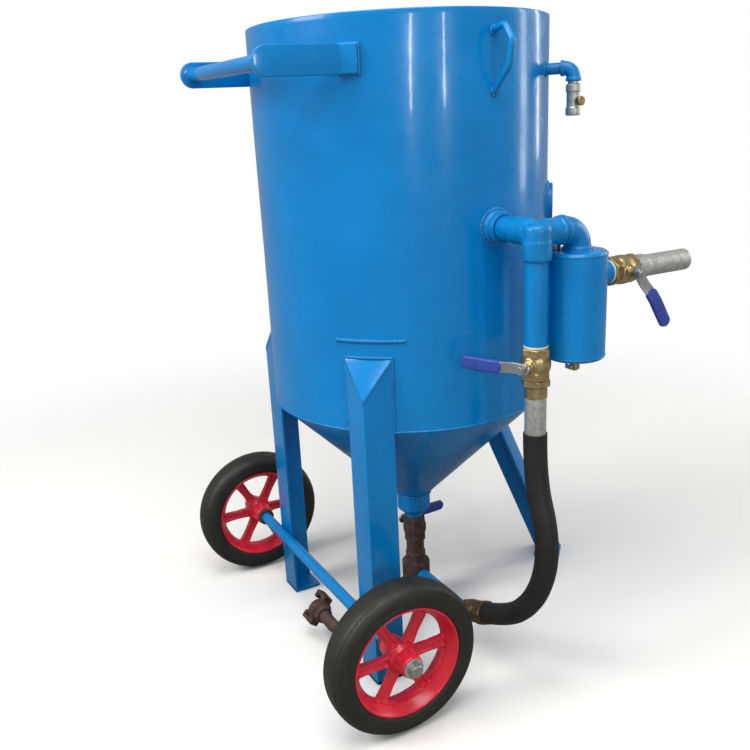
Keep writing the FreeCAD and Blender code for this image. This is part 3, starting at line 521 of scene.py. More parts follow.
addPiece("tankWall", [tankWall()], tankEnamel, standsFor=["tank_shell"], sharp=60)
coneTop = tankValues["bottom"]
neckValues = {"outer": 38.3, "inner": 34.3}
neckRadius = neckValues["outer"]
coneValues = {"outerTop": 300, "innerTop": 291.5, "hole": neckRadius + 0.2, "outerDrop": 261.5,
              "innerDrop": 253}
coneProfile = [(coneValues["outerTop"], coneTop), (coneValues["hole"], coneTop - coneValues["outerDrop"]),
               (coneValues["hole"], coneTop - coneValues["innerDrop"]), (coneValues["innerTop"], coneTop)]
addPiece("tankCone", [turned(coneProfile, 2.0, True, segments=288)], tankEnamel,
         standsFor=["bottom_cone"], sharp=60)
neck = tube(neckValues["inner"], neckRadius, low("outlet_neck")[2], high("outlet_neck")[2], 1.0,
            segments=128)
addPiece("coneNeck", [neck], tankEnamel, standsFor=["outlet_neck"])
hopperValues = {"edge": 293.7, "depth": 90, "wall": 6, "hole": 60.1, "inner": 287,
                "ringBore": 45, "ringOuter": 60}


def hopperBowl():
    # spherical cap: radius r, height = S - sqrt(S^2 - r^2) above its lowest point
    edge, depth, hole = hopperValues["edge"], hopperValues["depth"], hopperValues["hole"]
    sphere = (edge ** 2 + depth ** 2) / (2 * depth)
    outer = np.linspace(hole, edge, 60)
    inner = outer[::-1]
    base = low("hopper_head")[2] - (sphere - np.sqrt(sphere ** 2 - hole ** 2))
    under = base + sphere - np.sqrt(sphere ** 2 - outer ** 2)
    reach = np.minimum(inner, hopperValues["inner"])
    upper = base + sphere - np.sqrt((sphere - hopperValues["wall"]) ** 2 - reach ** 2)
    upper = np.minimum(upper, base + depth)
    profile = np.vstack([np.column_stack([outer, under]), np.column_stack([inner, upper])])
    return turned(profile, 0.0, True, segments=192)


addPiece("hopperBowl", [hopperBowl()], tankEnamel, standsFor=["hopper_head"], sharp=50)
fillerRing = tube(hopperValues["ringBore"], hopperValues["ringOuter"], low("filler_ring")[2],
                  high("filler_ring")[2], 2.5)
addPiece("fillerRing", [fillerRing], tankEnamel, standsFor=["filler_ring"])
print("tank made")


# weld beads: a rippled bar carried along each seam

def weldBead(path, radius, up, loop=False):
    # radius swells by 1 + 0.14 sin(2 pi s / pitch) with distance s, as stacked weld ripples do
    path = np.asarray(path, float)
    steps = np.linalg.norm(np.diff(path, axis=0, append=path[:1] if loop else path[-1:]), axis=1)
    distance = np.cumsum(steps)
    pitch = radius * 1.3
    if loop:
        pitch = distance[-1] / max(3, round(distance[-1] / pitch))
    swell = 1 + 0.14 * np.sin(2 * np.pi * distance / pitch) + 0.06 * np.sin(distance / 37 + 1)
    return carried(path, ring(radius, 12), up, loop, swell)


def onWall(azimuth, height, outwards=0.0):
    # point on the tank wall at azimuth degrees
    angle, height = np.radians(azimuth), np.asarray(height, float)
    radius = tankValues["radius"] + outwards
    return np.stack([radius * np.cos(angle), radius * np.sin(angle), height + 0 * angle], -1)


def saddleRing(azimuth, height, radius, count=160):
    # circle of one radius wrapped on the wall: across = asin(r cos t / R)
    t = np.linspace(0, 2 * np.pi, count, endpoint=False)
    across = np.degrees(np.arcsin(radius * np.cos(t) / tankValues["radius"]))
    return onWall(azimuth + across, height + radius * np.sin(t), -0.5)


def legSeam(azimuth):
    # up one toe, over the cap's edge and down the other toe, on the wall
    corners = np.array([(-8.8, 552), (-8.8, 696), (8.8, 696), (8.8, 552)], float)
    run = np.concatenate([[0], np.cumsum(np.linalg.norm(np.diff(corners * (5.236, 1), axis=0), axis=1))])
    even = np.linspace(0, run[-1], 260)
    across = np.interp(even, run, corners[:, 0])
    return onWall(azimuth + across, np.interp(even, run, corners[:, 1]), 0.2)


beadValues = {"leg": 3.2, "pipe": 3.4, "joint": 2.2, "mark": 4.2, "bowl": 5.5, "vent": 2.2,
              "neck": 2.4, "handle": 2.6, "bar": 2.0, "eye": 2.4}
portAngle = np.degrees(np.arctan2(middle("inspection_boss")[1], middle("inspection_boss")[0]))
ventAngle = np.degrees(np.arctan2(middle("vent_pipe")[1], middle("vent_pipe")[0]))
bossAngle = np.degrees(np.arcsin(middle("inlet_boss")[1] / tankValues["radius"]))
pipeLevel = 925.0   # height of the air piping's upper run
ventLevel = high("vent_pipe")[2] - 10.65
markLevel = 728.0   # a plain bead along the wall
fullTurn = np.linspace(0, 360, 720, endpoint=False)
beads = [
    weldBead(onWall(fullTurn, 0 * fullTurn + coneTop, -0.8), beadValues["joint"], (0, 0, 1), True),
    weldBead(onWall(fullTurn, 0 * fullTurn + high("hopper_head")[2] + 0.5, -10.0), beadValues["bowl"],
             (0, 0, 1), True),
    weldBead(saddleRing(bossAngle, pipeLevel, 33), beadValues["pipe"], (1, 0, 0), True),
    weldBead(saddleRing(ventAngle, ventLevel, 12.4, 90), beadValues["vent"], (1, 0.6, 0), True),
    weldBead(saddleRing(portAngle, middle("inspection_boss")[2], 38.6), beadValues["pipe"],
             (0.6, 0.8, 0), True),
    weldBead(onWall(np.linspace(-57, -31, 140), np.full(140, markLevel), -1.2), beadValues["mark"],
             (0, 0, 1)),
]
for azimuth in (-45, -135):
    seam = legSeam(azimuth)
    beads.append(weldBead(seam, beadValues["leg"], unit(seam * (1, 1, 0))))
neckTurn = np.radians(fullTurn[::4])
neckRing = np.stack([39.5 * np.cos(neckTurn), 39.5 * np.sin(neckTurn), np.full(180, coneTop - 262.5)], -1)
beads.append(weldBead(neckRing, beadValues["neck"], (0, 0, 1), True))
addPiece("weldBeads", beads, fittingEnamel)
print("welds laid")


# legs

legValues = {"flange": 65, "wall": 6, "ridge": 345, "ridgeTop": 625, "capRise": 70, "footPlate": 6}


def angleSection():
    # corners of an equal angle, ridge at the origin, flanges running inwards, toes rounded
    reach, wall = legValues["flange"] * np.sqrt(0.5), legValues["wall"] * np.sqrt(0.5)
    corners = [(0, 0), (-reach, reach), (-reach - wall, reach - wall), (-2 * wall, 0),
               (-reach - wall, -reach + wall), (-reach, -reach)]
    return softened(corners, np.array([1.6, 1.2, 3.0, 5.0, 3.0, 1.2]), True, 5)


def prism(lower, upper):
    # two outlines with one count of corners, joined side by side and closed at both ends
    count = len(lower)
    faces = gridFaces(2, count) + [list(range(count))[::-1], list(range(count, 2 * count))]
    return np.vstack([lower, upper]), faces


def slopedPost(section, top, rise):
    # section carried up from the floor to a slope: height = top + rise * (distance in from the ridge)
    reach = legValues["flange"] * np.sqrt(0.5)
    upper = top + rise * np.clip(-section[:, 0] / reach, 0, 1.1)
    return prism(np.column_stack([section, 0 * upper]), np.column_stack([section, upper]))


def slopedCap():
    # triangular plate over the flanges, thickness measured square to the slope
    reach, rise = legValues["flange"] * np.sqrt(0.5), legValues["capRise"]
    outline = softened([(1, 0), (-reach + 1, reach), (-reach + 1, -reach)], 3.0, True, 4)
    lift = legValues["wall"] * np.hypot(1, rise / reach)
    top = legValues["ridgeTop"] - outline[:, 0] * rise / reach
    return prism(np.column_stack([outline, top - lift]), np.column_stack([outline, top]))


def footPlate():
    reach = legValues["flange"] * np.sqrt(0.5)
    outline = softened([(0, 0), (-reach, reach), (-2 * reach, 0), (-reach, -reach)], 2.5, True, 4)
    return plate(outline, 0, legValues["footPlate"])


for name, azimuth in (("near", -45), ("far", -135)):
    out = np.array([np.cos(np.radians(azimuth)), np.sin(np.radians(azimuth)), 0])
    post = slopedPost(angleSection(), legValues["ridgeTop"] - 1, legValues["capRise"])
    addPiece(name + "Leg", [placed(part, out * legValues["ridge"], (0, 0, 1), out)
                           for part in (post, slopedCap(), footPlate())],
             tankEnamel, standsFor=[name + "_leg"], bevel=0.8)
print("front legs made")

rearValues = {"foot": 452, "lean": 24.2}


def rearPost():
    # section carried along the lean; each line starts on the floor and ends on the cone, where
    # its distance from the axis equals its height above the cone's tip: a quadratic in the distance
    # run along the line, of which the nearest root ahead is taken
    lean = np.radians(rearValues["lean"])
    section = angleSection()
    start = np.stack([rearValues["foot"] + section[:, 0] * np.cos(lean), section[:, 1],
                      section[:, 0] * np.sin(lean)], 1)
    along = np.array([-np.sin(lean), 0, np.cos(lean)])
    lower = start - along * (start[:, 2] / along[2])[:, None]
    coneTip = coneTop - tankValues["radius"]
    square = along[0] ** 2 - along[2] ** 2
    cross = 2 * (lower[:, 0] * along[0] - along[2] * (lower[:, 2] - coneTip))
    rest = lower[:, 0] ** 2 + lower[:, 1] ** 2 - (lower[:, 2] - coneTip) ** 2
    spread = np.sqrt(cross ** 2 - 4 * square * rest)
    roots = (-cross[:, None] + np.array([1, -1]) * spread[:, None]) / (2 * square)
    reach = np.where(roots > 0, roots, 1e9).min(1)
    return prism(lower, lower + along * reach[:, None])


rearSole = (footPlate()[0] + (rearValues["foot"], 0, 0), footPlate()[1])
addPiece("rearLeg", [placed(part, (0, 0, 0), (0, 0, 1), (0, 1, 0)) for part in (rearPost(), rearSole)],
         tankEnamel, standsFor=["rear_leg"], bevel=0.8)
print("rear leg made")


# handle

handleValues = {"half": 200, "plate": 10, "depth": 50, "bottom": 1200, "end": 365, "bar": 13.45,
                "root": -219, "barBore": 10.9, "tabTurn": (-1.6, 5.2)}
handleLevel = handleValues["bottom"] + handleValues["depth"] / 2
handleFoot = np.degrees(np.arctan2(223.6, handleValues["half"]))   # where the arms meet the wall


def armAzimuth(sideSign):
    return -handleFoot if sideSign > 0 else handleFoot - 180


def handleArm(sideSign):
    # flat bar with a half-round end, and its tab bent along the wall
    values, noseRadius = handleValues, handleValues["depth"] / 2
    t = np.linspace(-np.pi / 2, np.pi / 2, 24)
    nose = np.column_stack([-values["end"] - noseRadius * np.cos(t), handleLevel + noseRadius * np.sin(t)])
    outline = np.vstack([[(values["root"], values["bottom"])], nose,
                         [(values["root"], values["bottom"] + values["depth"])]])
    bar = placed(plate(outline, -values["plate"] / 2, values["plate"] / 2),
                 (sideSign * values["half"], 0, 0), (1, 0, 0), (0, 1, 0))
    azimuth = armAzimuth(sideSign) + sideSign * np.linspace(*values["tabTurn"], 16)
    path = onWall(azimuth, np.full(16, handleLevel), values["plate"] / 2 + 0.2)
    tab = carried(path, boxSection(values["plate"], values["depth"] - 2, 2.0), (0, 0, 1))
    return [bar, tab]


addPiece("handleArms", handleArm(1) + handleArm(-1), tankEnamel,
         standsFor=["handle_arms"], bevel=1.6)
barLength = 2 * handleValues["half"] - handleValues["plate"]
pushBar = tube(handleValues["barBore"], handleValues["bar"], 0, barLength, 0.6)
addPiece("pushBar", [placed(pushBar, (-barLength / 2, -handleValues["end"], handleLevel), (1, 0, 0))],
         tankEnamel, standsFor=["handle_bar"])
handleBeads = []
for sideSign in (1, -1):
    t = np.linspace(0, 2 * np.pi, 100, endpoint=False)
    collar = np.stack([np.full(100, sideSign * 194.5), -handleValues["end"] + 13.9 * np.cos(t),
                       handleLevel + 13.9 * np.sin(t)], 1)
    handleBeads.append(weldBead(collar, beadValues["bar"], (1, 0, 0), True))
    ends = armAzimuth(sideSign) + sideSign * np.array([-1.8, 5.4])
    for height in (handleLevel - 24.5, handleLevel + 24.5):
        edge = onWall(np.linspace(*ends, 40), np.full(40, height), 1.0)
        handleBeads.append(weldBead(edge, beadValues["handle"], (0, 0, 1)))
    edge = onWall(np.full(60, ends[1]), np.linspace(handleLevel - 25, handleLevel + 25, 60), 1.5)
    handleBeads.append(weldBead(edge, beadValues["handle"], unit(onWall(ends[1:], np.zeros(1)))[0]))
addPiece("handleBeads", handleBeads, fittingEnamel)
print("handle made")


# lifting loop, inspection port and vent

eyeValues = {"place": (299, 20, 1158), "rod": 6, "feet": (1262, 1162)}
loopPath = arcPath([(0, 0, 104), (30, 0, 112), (52, 0, 84), (42, 0, 44), (0, 0, 4)], 14, 3)
loopPath = loopPath + eyeValues["place"]
addPiece("liftingEye", [carried(loopPath, ring(eyeValues["rod"], 20), (0, 1, 0))], tankEnamel,
         standsFor=["lifting_loop"])
loopBeads = []
for height in eyeValues["feet"]:
    t = np.linspace(0, 2 * np.pi, 60, endpoint=False)
    foot = np.stack([np.full(60, 299.6), eyeValues["place"][1] + 7 * np.cos(t), height + 7 * np.sin(t)], 1)
    loopBeads.append(weldBead(foot, beadValues["eye"], (1, 0, 0), True))
addPiece("loopBeads", loopBeads, fittingEnamel)

portWay = np.array([np.cos(np.radians(portAngle)), np.sin(np.radians(portAngle)), 0])
portLevel = middle("inspection_boss")[2]
portStart = portWay * 284 + (0, 0, portLevel)
addPiece("portBoss", [placed(tube(26.3, 37, 0, 26, 1.5), portStart, portWay)],
         fittingEnamel, standsFor=["inspection_boss"])

ventWay = np.array([np.cos(np.radians(ventAngle)), np.sin(np.radians(ventAngle)), 0])
ventValues = {"pipe": 10.65, "bore": 8, "start": 288, "reach": 352, "bend": 18, "lip": 6,
              "lipRadius": 14.6, "body": 62}
ventStart = ventWay * ventValues["start"] + (0, 0, ventLevel)
ventLength = ventValues["reach"] - ventValues["bend"] - ventValues["lip"] - ventValues["start"]
ventPipe = tube(ventValues["bore"], ventValues["pipe"], 0, ventLength, 0.5)
addPiece("ventPipe", [placed(ventPipe, ventStart, ventWay)],
         fittingEnamel, standsFor=["vent_pipe"])
ventTop = ventWay * ventValues["reach"] + (0, 0, ventLevel)
ventIn = ventTop - ventWay * (ventValues["bend"] + ventValues["lip"])
ventOut = ventTop - np.array([0, 0, ventValues["bend"] + ventValues["lip"]])
elbowPath = arcPath([ventIn, ventTop, ventOut], ventValues["bend"], 2)
lipRadius, lipLength = ventValues["lipRadius"], ventValues["lip"]
lipShape = turned([(0, 0), (lipRadius, 0), (lipRadius, lipLength), (0, lipLength)], 1.2)
addPiece("ventElbow", [carried(elbowPath, ring(13, 32), np.cross(ventWay, (0, 0, 1))),
                       placed(lipShape, ventIn, ventWay), placed(lipShape, ventOut)],
         fittingEnamel, standsFor=["vent_elbow"], cast=0.8)
ventBase = ventOut - (0, 0, ventValues["body"])
ventBody = [(7, 0), (12, 0), (14, 2), (14, 14), (12.4, 16), (12.4, 42), (14, 44), (14, 56), (10.5, 57.5),
            (10.5, ventValues["body"]), (7, ventValues["body"])]
addPiece("ventBody", [placed(turned(ventBody, 0.8, True), ventBase)], galvanisedSteel,
         standsFor=["vent_valve_body"])
knob = turned([(0, -7), (5, -7), (5, 15.6), (8.6, 16.4), (9, 18), (9, 23.5), (7.6, 25), (0, 25)], 0.6,
              flats=8.7, sides=12)
addPiece("ventKnob", [placed(knob, ventBase + (0, 0, 26), (1, 0, 0))], valveBrass,
         body="vent_plug", standsFor=["vent_knob"])
print("loop, port and vent made")


# air piping and separator

# where the pipes run: outX from the axis, dropY the drop pipe, sepY the separator
outX, dropY, sepY, valveLevel = 417, 22, 113, 837
cornerPlace = np.array([outX, dropY, pipeLevel])
pipeValues = {"outer": 21.2, "bore": 17.7, "collar": 26.5, "drop": 155, "dropFoot": 722}
separatorValues = {"radius": 54, "top": 886, "foot": 682, "bend": 32}


def bar(radius, length, soft=1.2):
    return turned([(0, 0), (radius, 0), (radius, length), (0, length)], soft)


bossProfile = [(21.3, 0), (pipeValues["collar"], 0), (pipeValues["collar"], 18), (32, 19), (31, 24),
               (28, 27), (28, 42), (21.3, 42)]
addPiece("inletPad", [placed(turned(bossProfile, 2.5, True), (282, dropY, pipeLevel), (1, 0, 0))],
         fittingEnamel, standsFor=["inlet_boss"])
teeBend = arcPath([cornerPlace - (60, 0, 0), cornerPlace, cornerPlace - (0, 0, 46)], 24, 3)
teeBranch = arcPath([cornerPlace - (0, 0, 40), cornerPlace, cornerPlace + (0, 52, 0)], 22, 3)
addPiece("cornerTee", [
    placed(bar(22.6, 50), cornerPlace - (43, 0, 0), (-1, 0, 0)),
    placed(bar(25.5, 40, 18), cornerPlace - (0, 0, 24), (0, 0, 1)),
    carried(teeBend, ring(24.2, 40), (0, 1, 0)), carried(teeBranch, ring(23.2, 40), (1, 0, 0)),
    placed(bar(26.2, 38, 5), cornerPlace - (0, 0, 48)),
    placed(bar(25.6, 8, 2), cornerPlace + (0, 44, 0), (0, 1, 0))],
    fittingEnamel, standsFor=["corner_fitting"], cast=1.3)
dropPipe = tube(pipeValues["bore"], pipeValues["outer"], 0, pipeValues["drop"], 0.6)
addPiece("dropPipe", [placed(dropPipe, (outX, dropY, pipeValues["dropFoot"]))],
         tankEnamel, standsFor=["drop_pipe"])
sepTop, sepFoot, sepRadius = separatorValues["top"], separatorValues["foot"], separatorValues["radius"]
sepElbow = arcPath([(outX, 74, pipeLevel), (outX, sepY, pipeLevel), (outX, sepY, sepTop)],
                   separatorValues["bend"], 3)
elbowCollar = bar(pipeValues["collar"], 7)
addPiece("separatorBend", [carried(sepElbow, ring(23.7, 40), (1, 0, 0)),
                           placed(elbowCollar, (outX, 74, pipeLevel), (0, 1, 0)),
                           placed(elbowCollar, (outX, sepY, sepTop))],
         fittingEnamel, standsFor=["separator_elbow"], cast=1.2)
vessel = [(0, sepTop), (50, sepTop), (sepRadius, sepTop - 5), (sepRadius, sepFoot + 10),
          (51, sepFoot + 6.5), (30, sepFoot + 2), (0, sepFoot)]
sepCentre = np.array([outX, sepY, 0.0])
addPiece("separatorVessel", [placed(turned(vessel, 4.0, segments=160), sepCentre),
                             placed(bar(pipeValues["outer"], 30), (outX, 158, valveLevel), (0, 1, 0))],
         tankEnamel, standsFor=["separator_body"], sharp=50)
t = np.linspace(0, 2 * np.pi, 200, endpoint=False)
vesselRing = np.stack([53.2 * np.cos(t), 53.2 * np.sin(t), 0 * t], 1) + sepCentre
portRing = np.stack([22.4 * np.cos(t), np.sqrt(sepRadius ** 2 - (22.4 * np.cos(t)) ** 2),
                     22.4 * np.sin(t)], 1)
collarRing = np.stack([27 * np.cos(t), 27 * np.sin(t), 0 * t], 1)
addPiece("separatorBeads", [
    weldBead(vesselRing + (0, 0, 880), 1.6, (0, 0, 1), True),
    weldBead(vesselRing + (0, 0, 694), 1.6, (0, 0, 1), True),
    weldBead(portRing + (outX, sepY, valveLevel), 2.2, (0, 1, 0), True),
    weldBead(collarRing + (outX, sepY, sepTop + 0.5), 1.8, (0, 0, 1), True)],
    fittingEnamel)
plugHead = [(0, 0), (6.9, 0), (6.9, 10), (11, 10.5), (11, 18), (9.5, 19), (0, 19)]
addPiece("separatorPlug", [placed(turned(plugHead, 0.6, flats=9.5), (387, 87, 876.5))], zincPlate,
         standsFor=["separator_plug"])
drainBody = [(0, -20), (5, -20), (6, -19), (6, -17), (10, -16.5), (10, -5.5), (6, -5), (6, 9), (0, 9)]
addPiece("drainCock", [placed(turned(drainBody, 0.5, flats=8.6), (outX, sepY, sepFoot))], valveBrass,
         standsFor=["drain_cock"])
print("piping and separator made")


# ball valves, in their own frame: pipe along z, stem along x

valveValues = {"length": 60, "corner": 28, "leverEnd": 116}


def evenPath(corners, count):
    # rounded path cut into equal steps, with the distance run at each and its whole length
    path = softened(corners, 12.0, False, 8)
    lengths = np.concatenate([[0], np.cumsum(np.linalg.norm(np.diff(path, axis=0), axis=1))])
    even = np.linspace(0, lengths[-1], count)
    return np.stack([np.interp(even, lengths, path[:, axis]) for axis in range(3)], 1), even, lengths[-1]


def valveCasting():
    flats = valveValues["corner"] * np.cos(np.pi / 6)
    hexEnd = turned([(0, 0), (25.5, 0), (28.4, 2.4), (28.4, 15), (25, 17), (0, 17)], 0.8, flats=flats)
    upper = (hexEnd[0] * (1, 1, -1) + (0, 0, valveValues["length"]), [face[::-1] for face in hexEnd[1]])
    belly = turned([(0, 9), (22, 11), (26.4, 19), (27.6, 30), (26.4, 41), (22, 49), (0, 51)], 6.0)
    centre = (0, 0, valveValues["length"] / 2)
    stemNut = turned([(0, 28), (10.4, 28), (10.4, 35), (9, 36), (0, 36)], 0.6, flats=8.6)
    return [hexEnd, upper, belly, placed(bar(11.5, 31, 2), centre, (1, 0, 0)),
            placed(stemNut, centre, (1, 0, 0))]


def leverStrip():
    # strip carried along its bent side view; width = 20 sqrt(1 - u^2) near each round end
    path, even, whole = evenPath([(47, 0, -15), (47, 0, 21), (57, 0, 44), (61, 0, 60),
                                  (61, 0, valveValues["leverEnd"])], 110)
    near = np.clip(1 - np.minimum(even, whole - even) / 10, 0, 0.995)
    return carried(path, boxSection(20, 4, 0.8), (1, 0, 0), wide=np.sqrt(1 - near ** 2))


def gripSleeve():
    # sleeve over the strip, swelling w = 1 + 0.08 sin(pi u) and ribbed along its outer third
    path, even, whole = evenPath([(54.5, 0, 38), (59.6, 0, 57), (61.5, 0, valveValues["leverEnd"] + 3)], 160)
    u = even / whole
    ribs = 0.02 * np.sin(2 * np.pi * even / 4.2) * ((u > 0.35) & (u < 0.9))
    near = np.clip(1 - np.minimum(even, whole - even) / 8, 0, 0.99)
    swell = 1 + 0.06 * np.sin(np.pi * u) + ribs
    return carried(path, boxSection(23.6, 9, 3.6), (1, 0, 0), scale=swell * np.sqrt(1 - near ** 2 * 0.45),
                   wide=np.sqrt(1 - near ** 2 * 0.85))


def ballValve(prefix, base, stem, way, swing, body, castIron=False):
    # casting stays put; lever, its nut and grip swing about the stem
    finish, slot = (rustyIron, "cast_iron") if castIron else (valveBrass, "valve_brass")
    addPiece(prefix + "ValveBody", [placed(shape, base, way, stem) for shape in valveCasting()],
             finish, standsFor=[prefix + "_valve_body"], cast=0.9)
    middlePoint = np.asarray(base, float) + unit(way) * valveValues["length"] / 2
    across = np.cross(unit(way), unit(stem))
    angle = np.radians(swing)
    leverWay = unit(way) * np.cos(angle) - across * np.sin(angle)
    addPiece(prefix + "Lever", [placed(leverStrip(), middlePoint, leverWay, stem)], zincPlate,
             body=body, standsFor=[prefix + "_lever"], bevel=0.3)
    nut = turned([(0, 48), (9.2, 48), (10.4, 49), (10.4, 54), (9.2, 55), (5.6, 55), (5.4, 56.5),
                  (0, 56.5)], 0.5, flats=9)
    addPiece(prefix + "LeverNut", [placed(nut, middlePoint, stem, leverWay)], zincPlate,
             body=body)
    addPiece(prefix + "Grip", [placed(gripSleeve(), middlePoint, leverWay, stem)], gripVinyl,
             body=body, standsFor=[prefix + "_grip"], sharp=55)


stemWay = np.array([np.cos(np.radians(-70)), np.sin(np.radians(-70)), 0])
ballValve("inlet", (outX, 188, valveLevel), (1, 0, 0), (0, 1, 0), -60, "inlet_handle")
ballValve("hose", (outX, dropY, 662), stemWay, (0, 0, 1), 90, "hose_handle")
ballValve("sand", (0, 0, 162), (-1, 0, 0), (0, 0, 1), 90, "sand_handle", castIron=True)

tailProfile = [(15.7, 0), (23.2, 0), (23.2, 24), (20.5, 27), (20.5, 133), (18.5, 135), (15.7, 135)]
addPiece("inletTail", [placed(turned(tailProfile, 1.0, True), (outX, 248, valveLevel), (0, 1, 0))],
         galvanisedSteel, standsFor=["inlet_tail"])
unionProfile = [(15.7, 0), (21.2, 0), (21.2, 20), (22.6, 22), (28.2, 24), (28.2, 33), (26, 34), (15.7, 34)]
addPiece("valveUnion", [placed(turned(unionProfile, 0.9, True, 24.4), (outX, dropY, 628))], valveBrass,
         standsFor=["valve_union"])
addPiece("hoseTail", [placed(tube(14, 20, 0, 71, 0.8), (outX, dropY, 557))],
         galvanisedSteel, standsFor=["hose_tail"])
tapeRing = turned([(21, 0), (21.7, 0.4), (22.0, 1.6), (21.6, 2.6), (21.9, 3.4), (21, 3.8)], 0.3, True)
addPiece("threadTapeRings", [placed(tapeRing, (outX, dropY, pipeValues["dropFoot"])),
                             placed(tapeRing, (outX, dropY, 658.2)),
                             placed(tapeRing, (outX, 184.2, valveLevel), (0, 1, 0))],
         threadTape)
print("valves made")


# under the cone: reducer, mixing chamber, pipes and coupling

reducerProfile = [(14, 0), (21, 0), (21, 12), (30, 16), (38.3, 24), (38.3, 34.5), (14, 34.5)]
addPiece("coneReducer", [placed(turned(reducerProfile, 2.0, True), (0, 0, 222))], fittingEnamel,
         standsFor=["reducer"])
chamberCap = turned([(0, 0), (25, 0), (27, 2), (27, 20), (25, 22), (0, 22)], 1.0, flats=23.4)
addPiece("mixingPot", [placed(bar(33, 64, 4), (0, 0, 40)), placed(chamberCap, (0, 0, 104)),
                       placed(bar(21, 58), (0, 0, 104))], rustyIron,
         standsFor=["mixing_chamber"], cast=1.2)
outletLevel, chamberRadius = 72, 32
coupling = (55, -272, outletLevel)
pipeStart = hoseEnd + hoseEndWay * (ferruleValues["length"] + nutLength)
feedCorner = pipeStart + hoseEndWay * (pipeStart[2] - outletLevel) / -hoseEndWay[2]
feedPath = arcPath([pipeStart, feedCorner, (chamberRadius, 0, outletLevel)], 60, 4)
addPiece("feedPipe", [carried(feedPath, ring(17, 40), (0, 1, 0))], tankEnamel,
         standsFor=["feed_pipe"])
outletWay = unit(np.array([170, -272, 0.0]))
outletPath = arcPath([outletWay * chamberRadius + (0, 0, outletLevel), (170, -272, outletLevel), coupling],
                     40, 4)
addPiece("outletPipe", [carried(outletPath, ring(13.45, 36), (0, 0, 1))], rustyIron,
         standsFor=["outlet_pipe"])
clawBarrel = turned([(12, 0), (18.5, 0), (18.5, 12), (25, 18), (25, 36), (17, 36), (17, 32), (12, 32)],
                    1.2, True)
clawParts = [clawBarrel]
for lug in (40, 220):
    root = plate(softened([(21, -11), (35, -11), (35, 11), (21, 11)], 4, True, 5), 18, 36)
    arm = plate(softened([(26, -11), (35, -11), (35, 11), (26, 11)], 3, True, 5), 18, 60)
    hook = plate(softened([(17, -11), (35, -11), (35, 11), (17, 11)], 4, True, 5), 51, 60)
    clawParts += [spun(part, lug) for part in (root, arm, hook)]
addPiece("clawCoupling", [placed(part, coupling, (-1, 0, 0), (0, 0, 1)) for part in clawParts],
         rustyIron, standsFor=["claw_coupling"], cast=0.9)
print("outlet made")


# axle and wheels

wheelCentre = middle("near_tyre")
wheelValues = {"spokes": 6, "axle": 12.5, "journal": 0.4175}   # journal: metres from the middle
axleLine = np.array([0, wheelCentre[1], wheelCentre[2]])
axleEnds = (low("axle")[0], high("axle")[0])
axleLength = axleEnds[1] - axleEnds[0]
axleRadius = wheelValues["axle"]
axleBar = turned([(0, 0), (11, 0), (axleRadius, 1.5), (axleRadius, 14), (axleRadius, axleLength - 14),
                  (axleRadius, axleLength - 1.5), (11, axleLength), (0, axleLength)], 0.5)
axlePiece = addPiece("axleBar", [placed(axleBar, axleLine + (axleEnds[0], 0, 0), (1, 0, 0))], tankEnamel,
                     standsFor=["axle"])
axlePiece.data.materials.append(zincPlate)   # its turned ends, past the wheels, are bare
for face in axlePiece.data.polygons:
    face.material_index = int(abs(face.center.x - tankAxis[0]) > wheelValues["journal"])


def wheelCasting():
    # hub, banded rim and I-section spokes, fused and softened as one casting
    hub = turned([(12.58, -46), (20, -46), (22, -44), (24.5, -18), (32, -8), (32, 8), (24.5, 18), (22, 44),
                  (20, 46), (12.58, 46)], 2.0, True)
    band = turned([(108.5, -31), (112.5, -31), (112.5, -27.5), (107, -24), (100, -8), (100, 8), (107, 24),
                   (112.5, 27.5), (112.5, 31), (108.5, 31), (104.5, 25), (95.5, 11), (93.2, 0), (95.5, -11),
                   (104.5, -25)], 1.0, True, segments=144)
    parts = [hub, band]
    step = 360 / wheelValues["spokes"]
    for i in range(wheelValues["spokes"]):
        web = plate(np.array([(24, -11), (60, -8.5), (97, -11), (97, 11), (60, 8.5), (24, 11)]), -2.8, 2.8)
        parts.append(spun(web, step * i))
        for edge in (-1, 1):
            rib = np.array([(24, 12), (60, 9.8), (97, 12), (97, 7.4), (60, 5.2), (24, 7.4)]) * (1, edge)
            parts.append(spun(plate(rib, -7.2, 7.2), step * i))
    return parts


def tyreSolid():
    # closed half profile mirrored in z; two shallow grooves run round each shoulder
    half = [(100.2, 8.4), (107.2, 24.4), (112.8, 27.6), (113.6, 31), (118, 33), (124, 33.8),
            (125.2, 32.9), (126.4, 33.9), (136, 33.4), (141, 32.2), (142.2, 31), (143.6, 31.4),
            (148.4, 27), (150.4, 23), (151.2, 21.3), (152.6, 20.4), (154.2, 14), (155, 6)]
    half = np.array(half)
    profile = np.vstack([half, (half * (1, -1))[::-1]])
    return turned(profile, 1.1, True, segments=200)


for prefix, sideSign in (("near", 1), ("far", -1)):
    centre = axleLine + (sideSign * wheelCentre[0], 0, 0)
    addPiece(prefix + "WheelCasting", [placed(part, centre, (1, 0, 0)) for part in wheelCasting()],
             wheelEnamel, body=prefix + "_wheel", standsFor=[prefix + "_rim"], cast=1.5)
    addPiece(prefix + "SolidTyre", [placed(tyreSolid(), centre, (1, 0, 0))], tyreRubber,
             body=prefix + "_wheel", standsFor=[prefix + "_tyre"], sharp=60)
collarStart, washerStart, pinPlace = 313.5, 417, 423   # out along the axle


def bothEnds(shape, start):
    return [placed(shape, axleLine + (s * start, 0, 0), (s, 0, 0)) for s in (1, -1)]


addPiece("axleCollars", bothEnds(tube(12.55, 20, 0, 10.5, 1.2), collarStart), rustyIron,
         standsFor=["axle_collars"])
addPiece("hubWashers", bothEnds(tube(12.6, 20, 0, 3, 0.6), washerStart), galvanisedSteel,
         standsFor=["axle_washers"])


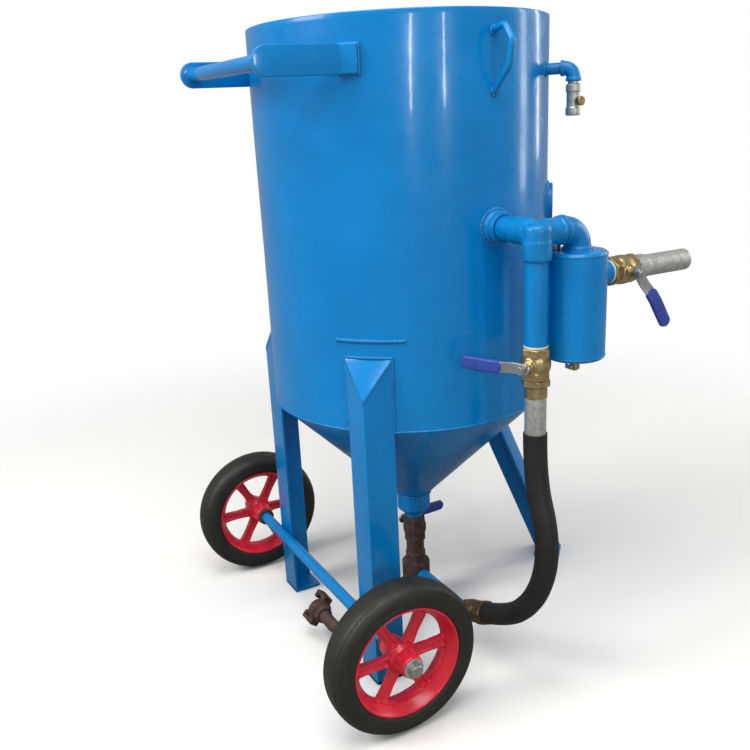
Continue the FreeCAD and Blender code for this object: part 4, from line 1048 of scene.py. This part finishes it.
def splitPin(x):
    # two half-round legs through the axle, an eye above and the legs bent apart below
    t = np.linspace(-0.75 * np.pi, 0.75 * np.pi, 24)
    eye = np.stack([np.full(24, 0.0), 4.0 * np.sin(t), 19.0 - 0 * t + 3.6 * np.cos(t)], 1)
    return [carried(arcPath([(0, s * 0.9, 16), (0, s * 0.9, -14), (0, s * 8, -18)], 2.4, 1.2)
                    + (x, 0, 0) + axleLine, ring(1.0, 12), (1, 0, 0)) for s in (1, -1)] + [
        carried(eye + (x, 0, 0) + axleLine, ring(1.0, 12), (1, 0, 0))]


addPiece("splitPins", splitPin(pinPlace) + splitPin(-pinPlace), zincPlate,
         standsFor=["split_pins"])
print("wheels made")


# finish on the CAD nodes that stay, the floor and the surroundings

nodeFinish = {
    "tank_paint": tankEnamel, "wheel_paint": wheelEnamel, "tyre_rubber": tyreRubber,
    "valve_brass": valveBrass, "ball_chrome": platedBall, "galvanised": galvanisedSteel,
    "grip_vinyl": gripVinyl, "hose_rubber": hoseRubber, "seal_rubber": sealRubber, "cast_iron": rustyIron,
}
slotOf = {part["node"]: part["material_slot"] for part in frame["record"]["subparts"]}
for name, node in frame["nodes"].items():
    node.data.materials.clear()
    node.data.materials.append(nodeFinish[slotOf[name]])

floorMesh = bpy.data.meshes.new("studioFloor")
half, drop = floorValues["half"], floorValues["drop"] * mm
corners = [(x * half, y * half, -drop) for x, y in ((-1, -1), (1, -1), (1, 1), (-1, 1))]
floorMesh.from_pydata(corners, [], [(0, 1, 2, 3)])
floor = bpy.data.objects.new("studioFloor", floorMesh)
floorMesh.materials.append(paleFloor)
bpy.context.scene.collection.objects.link(floor)
backdropValues = {"light": 0.34, "seen": 1.0}   # strength as light, and as seen behind the object
world = bpy.data.worlds.new("studio")
world.use_nodes = True
sky = world.node_tree
sky.nodes.clear()
seen = addNode(sky, "LightPath", {}, {}).outputs["Is Camera Ray"]
strength = addNode(sky, "MapRange", {}, {
    "Value": seen, "To Min": backdropValues["light"], "To Max": backdropValues["seen"]})
backdrop = addNode(sky, "Background", {}, {"Color": (1, 1, 1, 1), "Strength": strength.outputs["Result"]})
addNode(sky, "OutputWorld", {}, {"Surface": backdrop.outputs["Background"]})
bpy.context.scene.world = world

print("done")
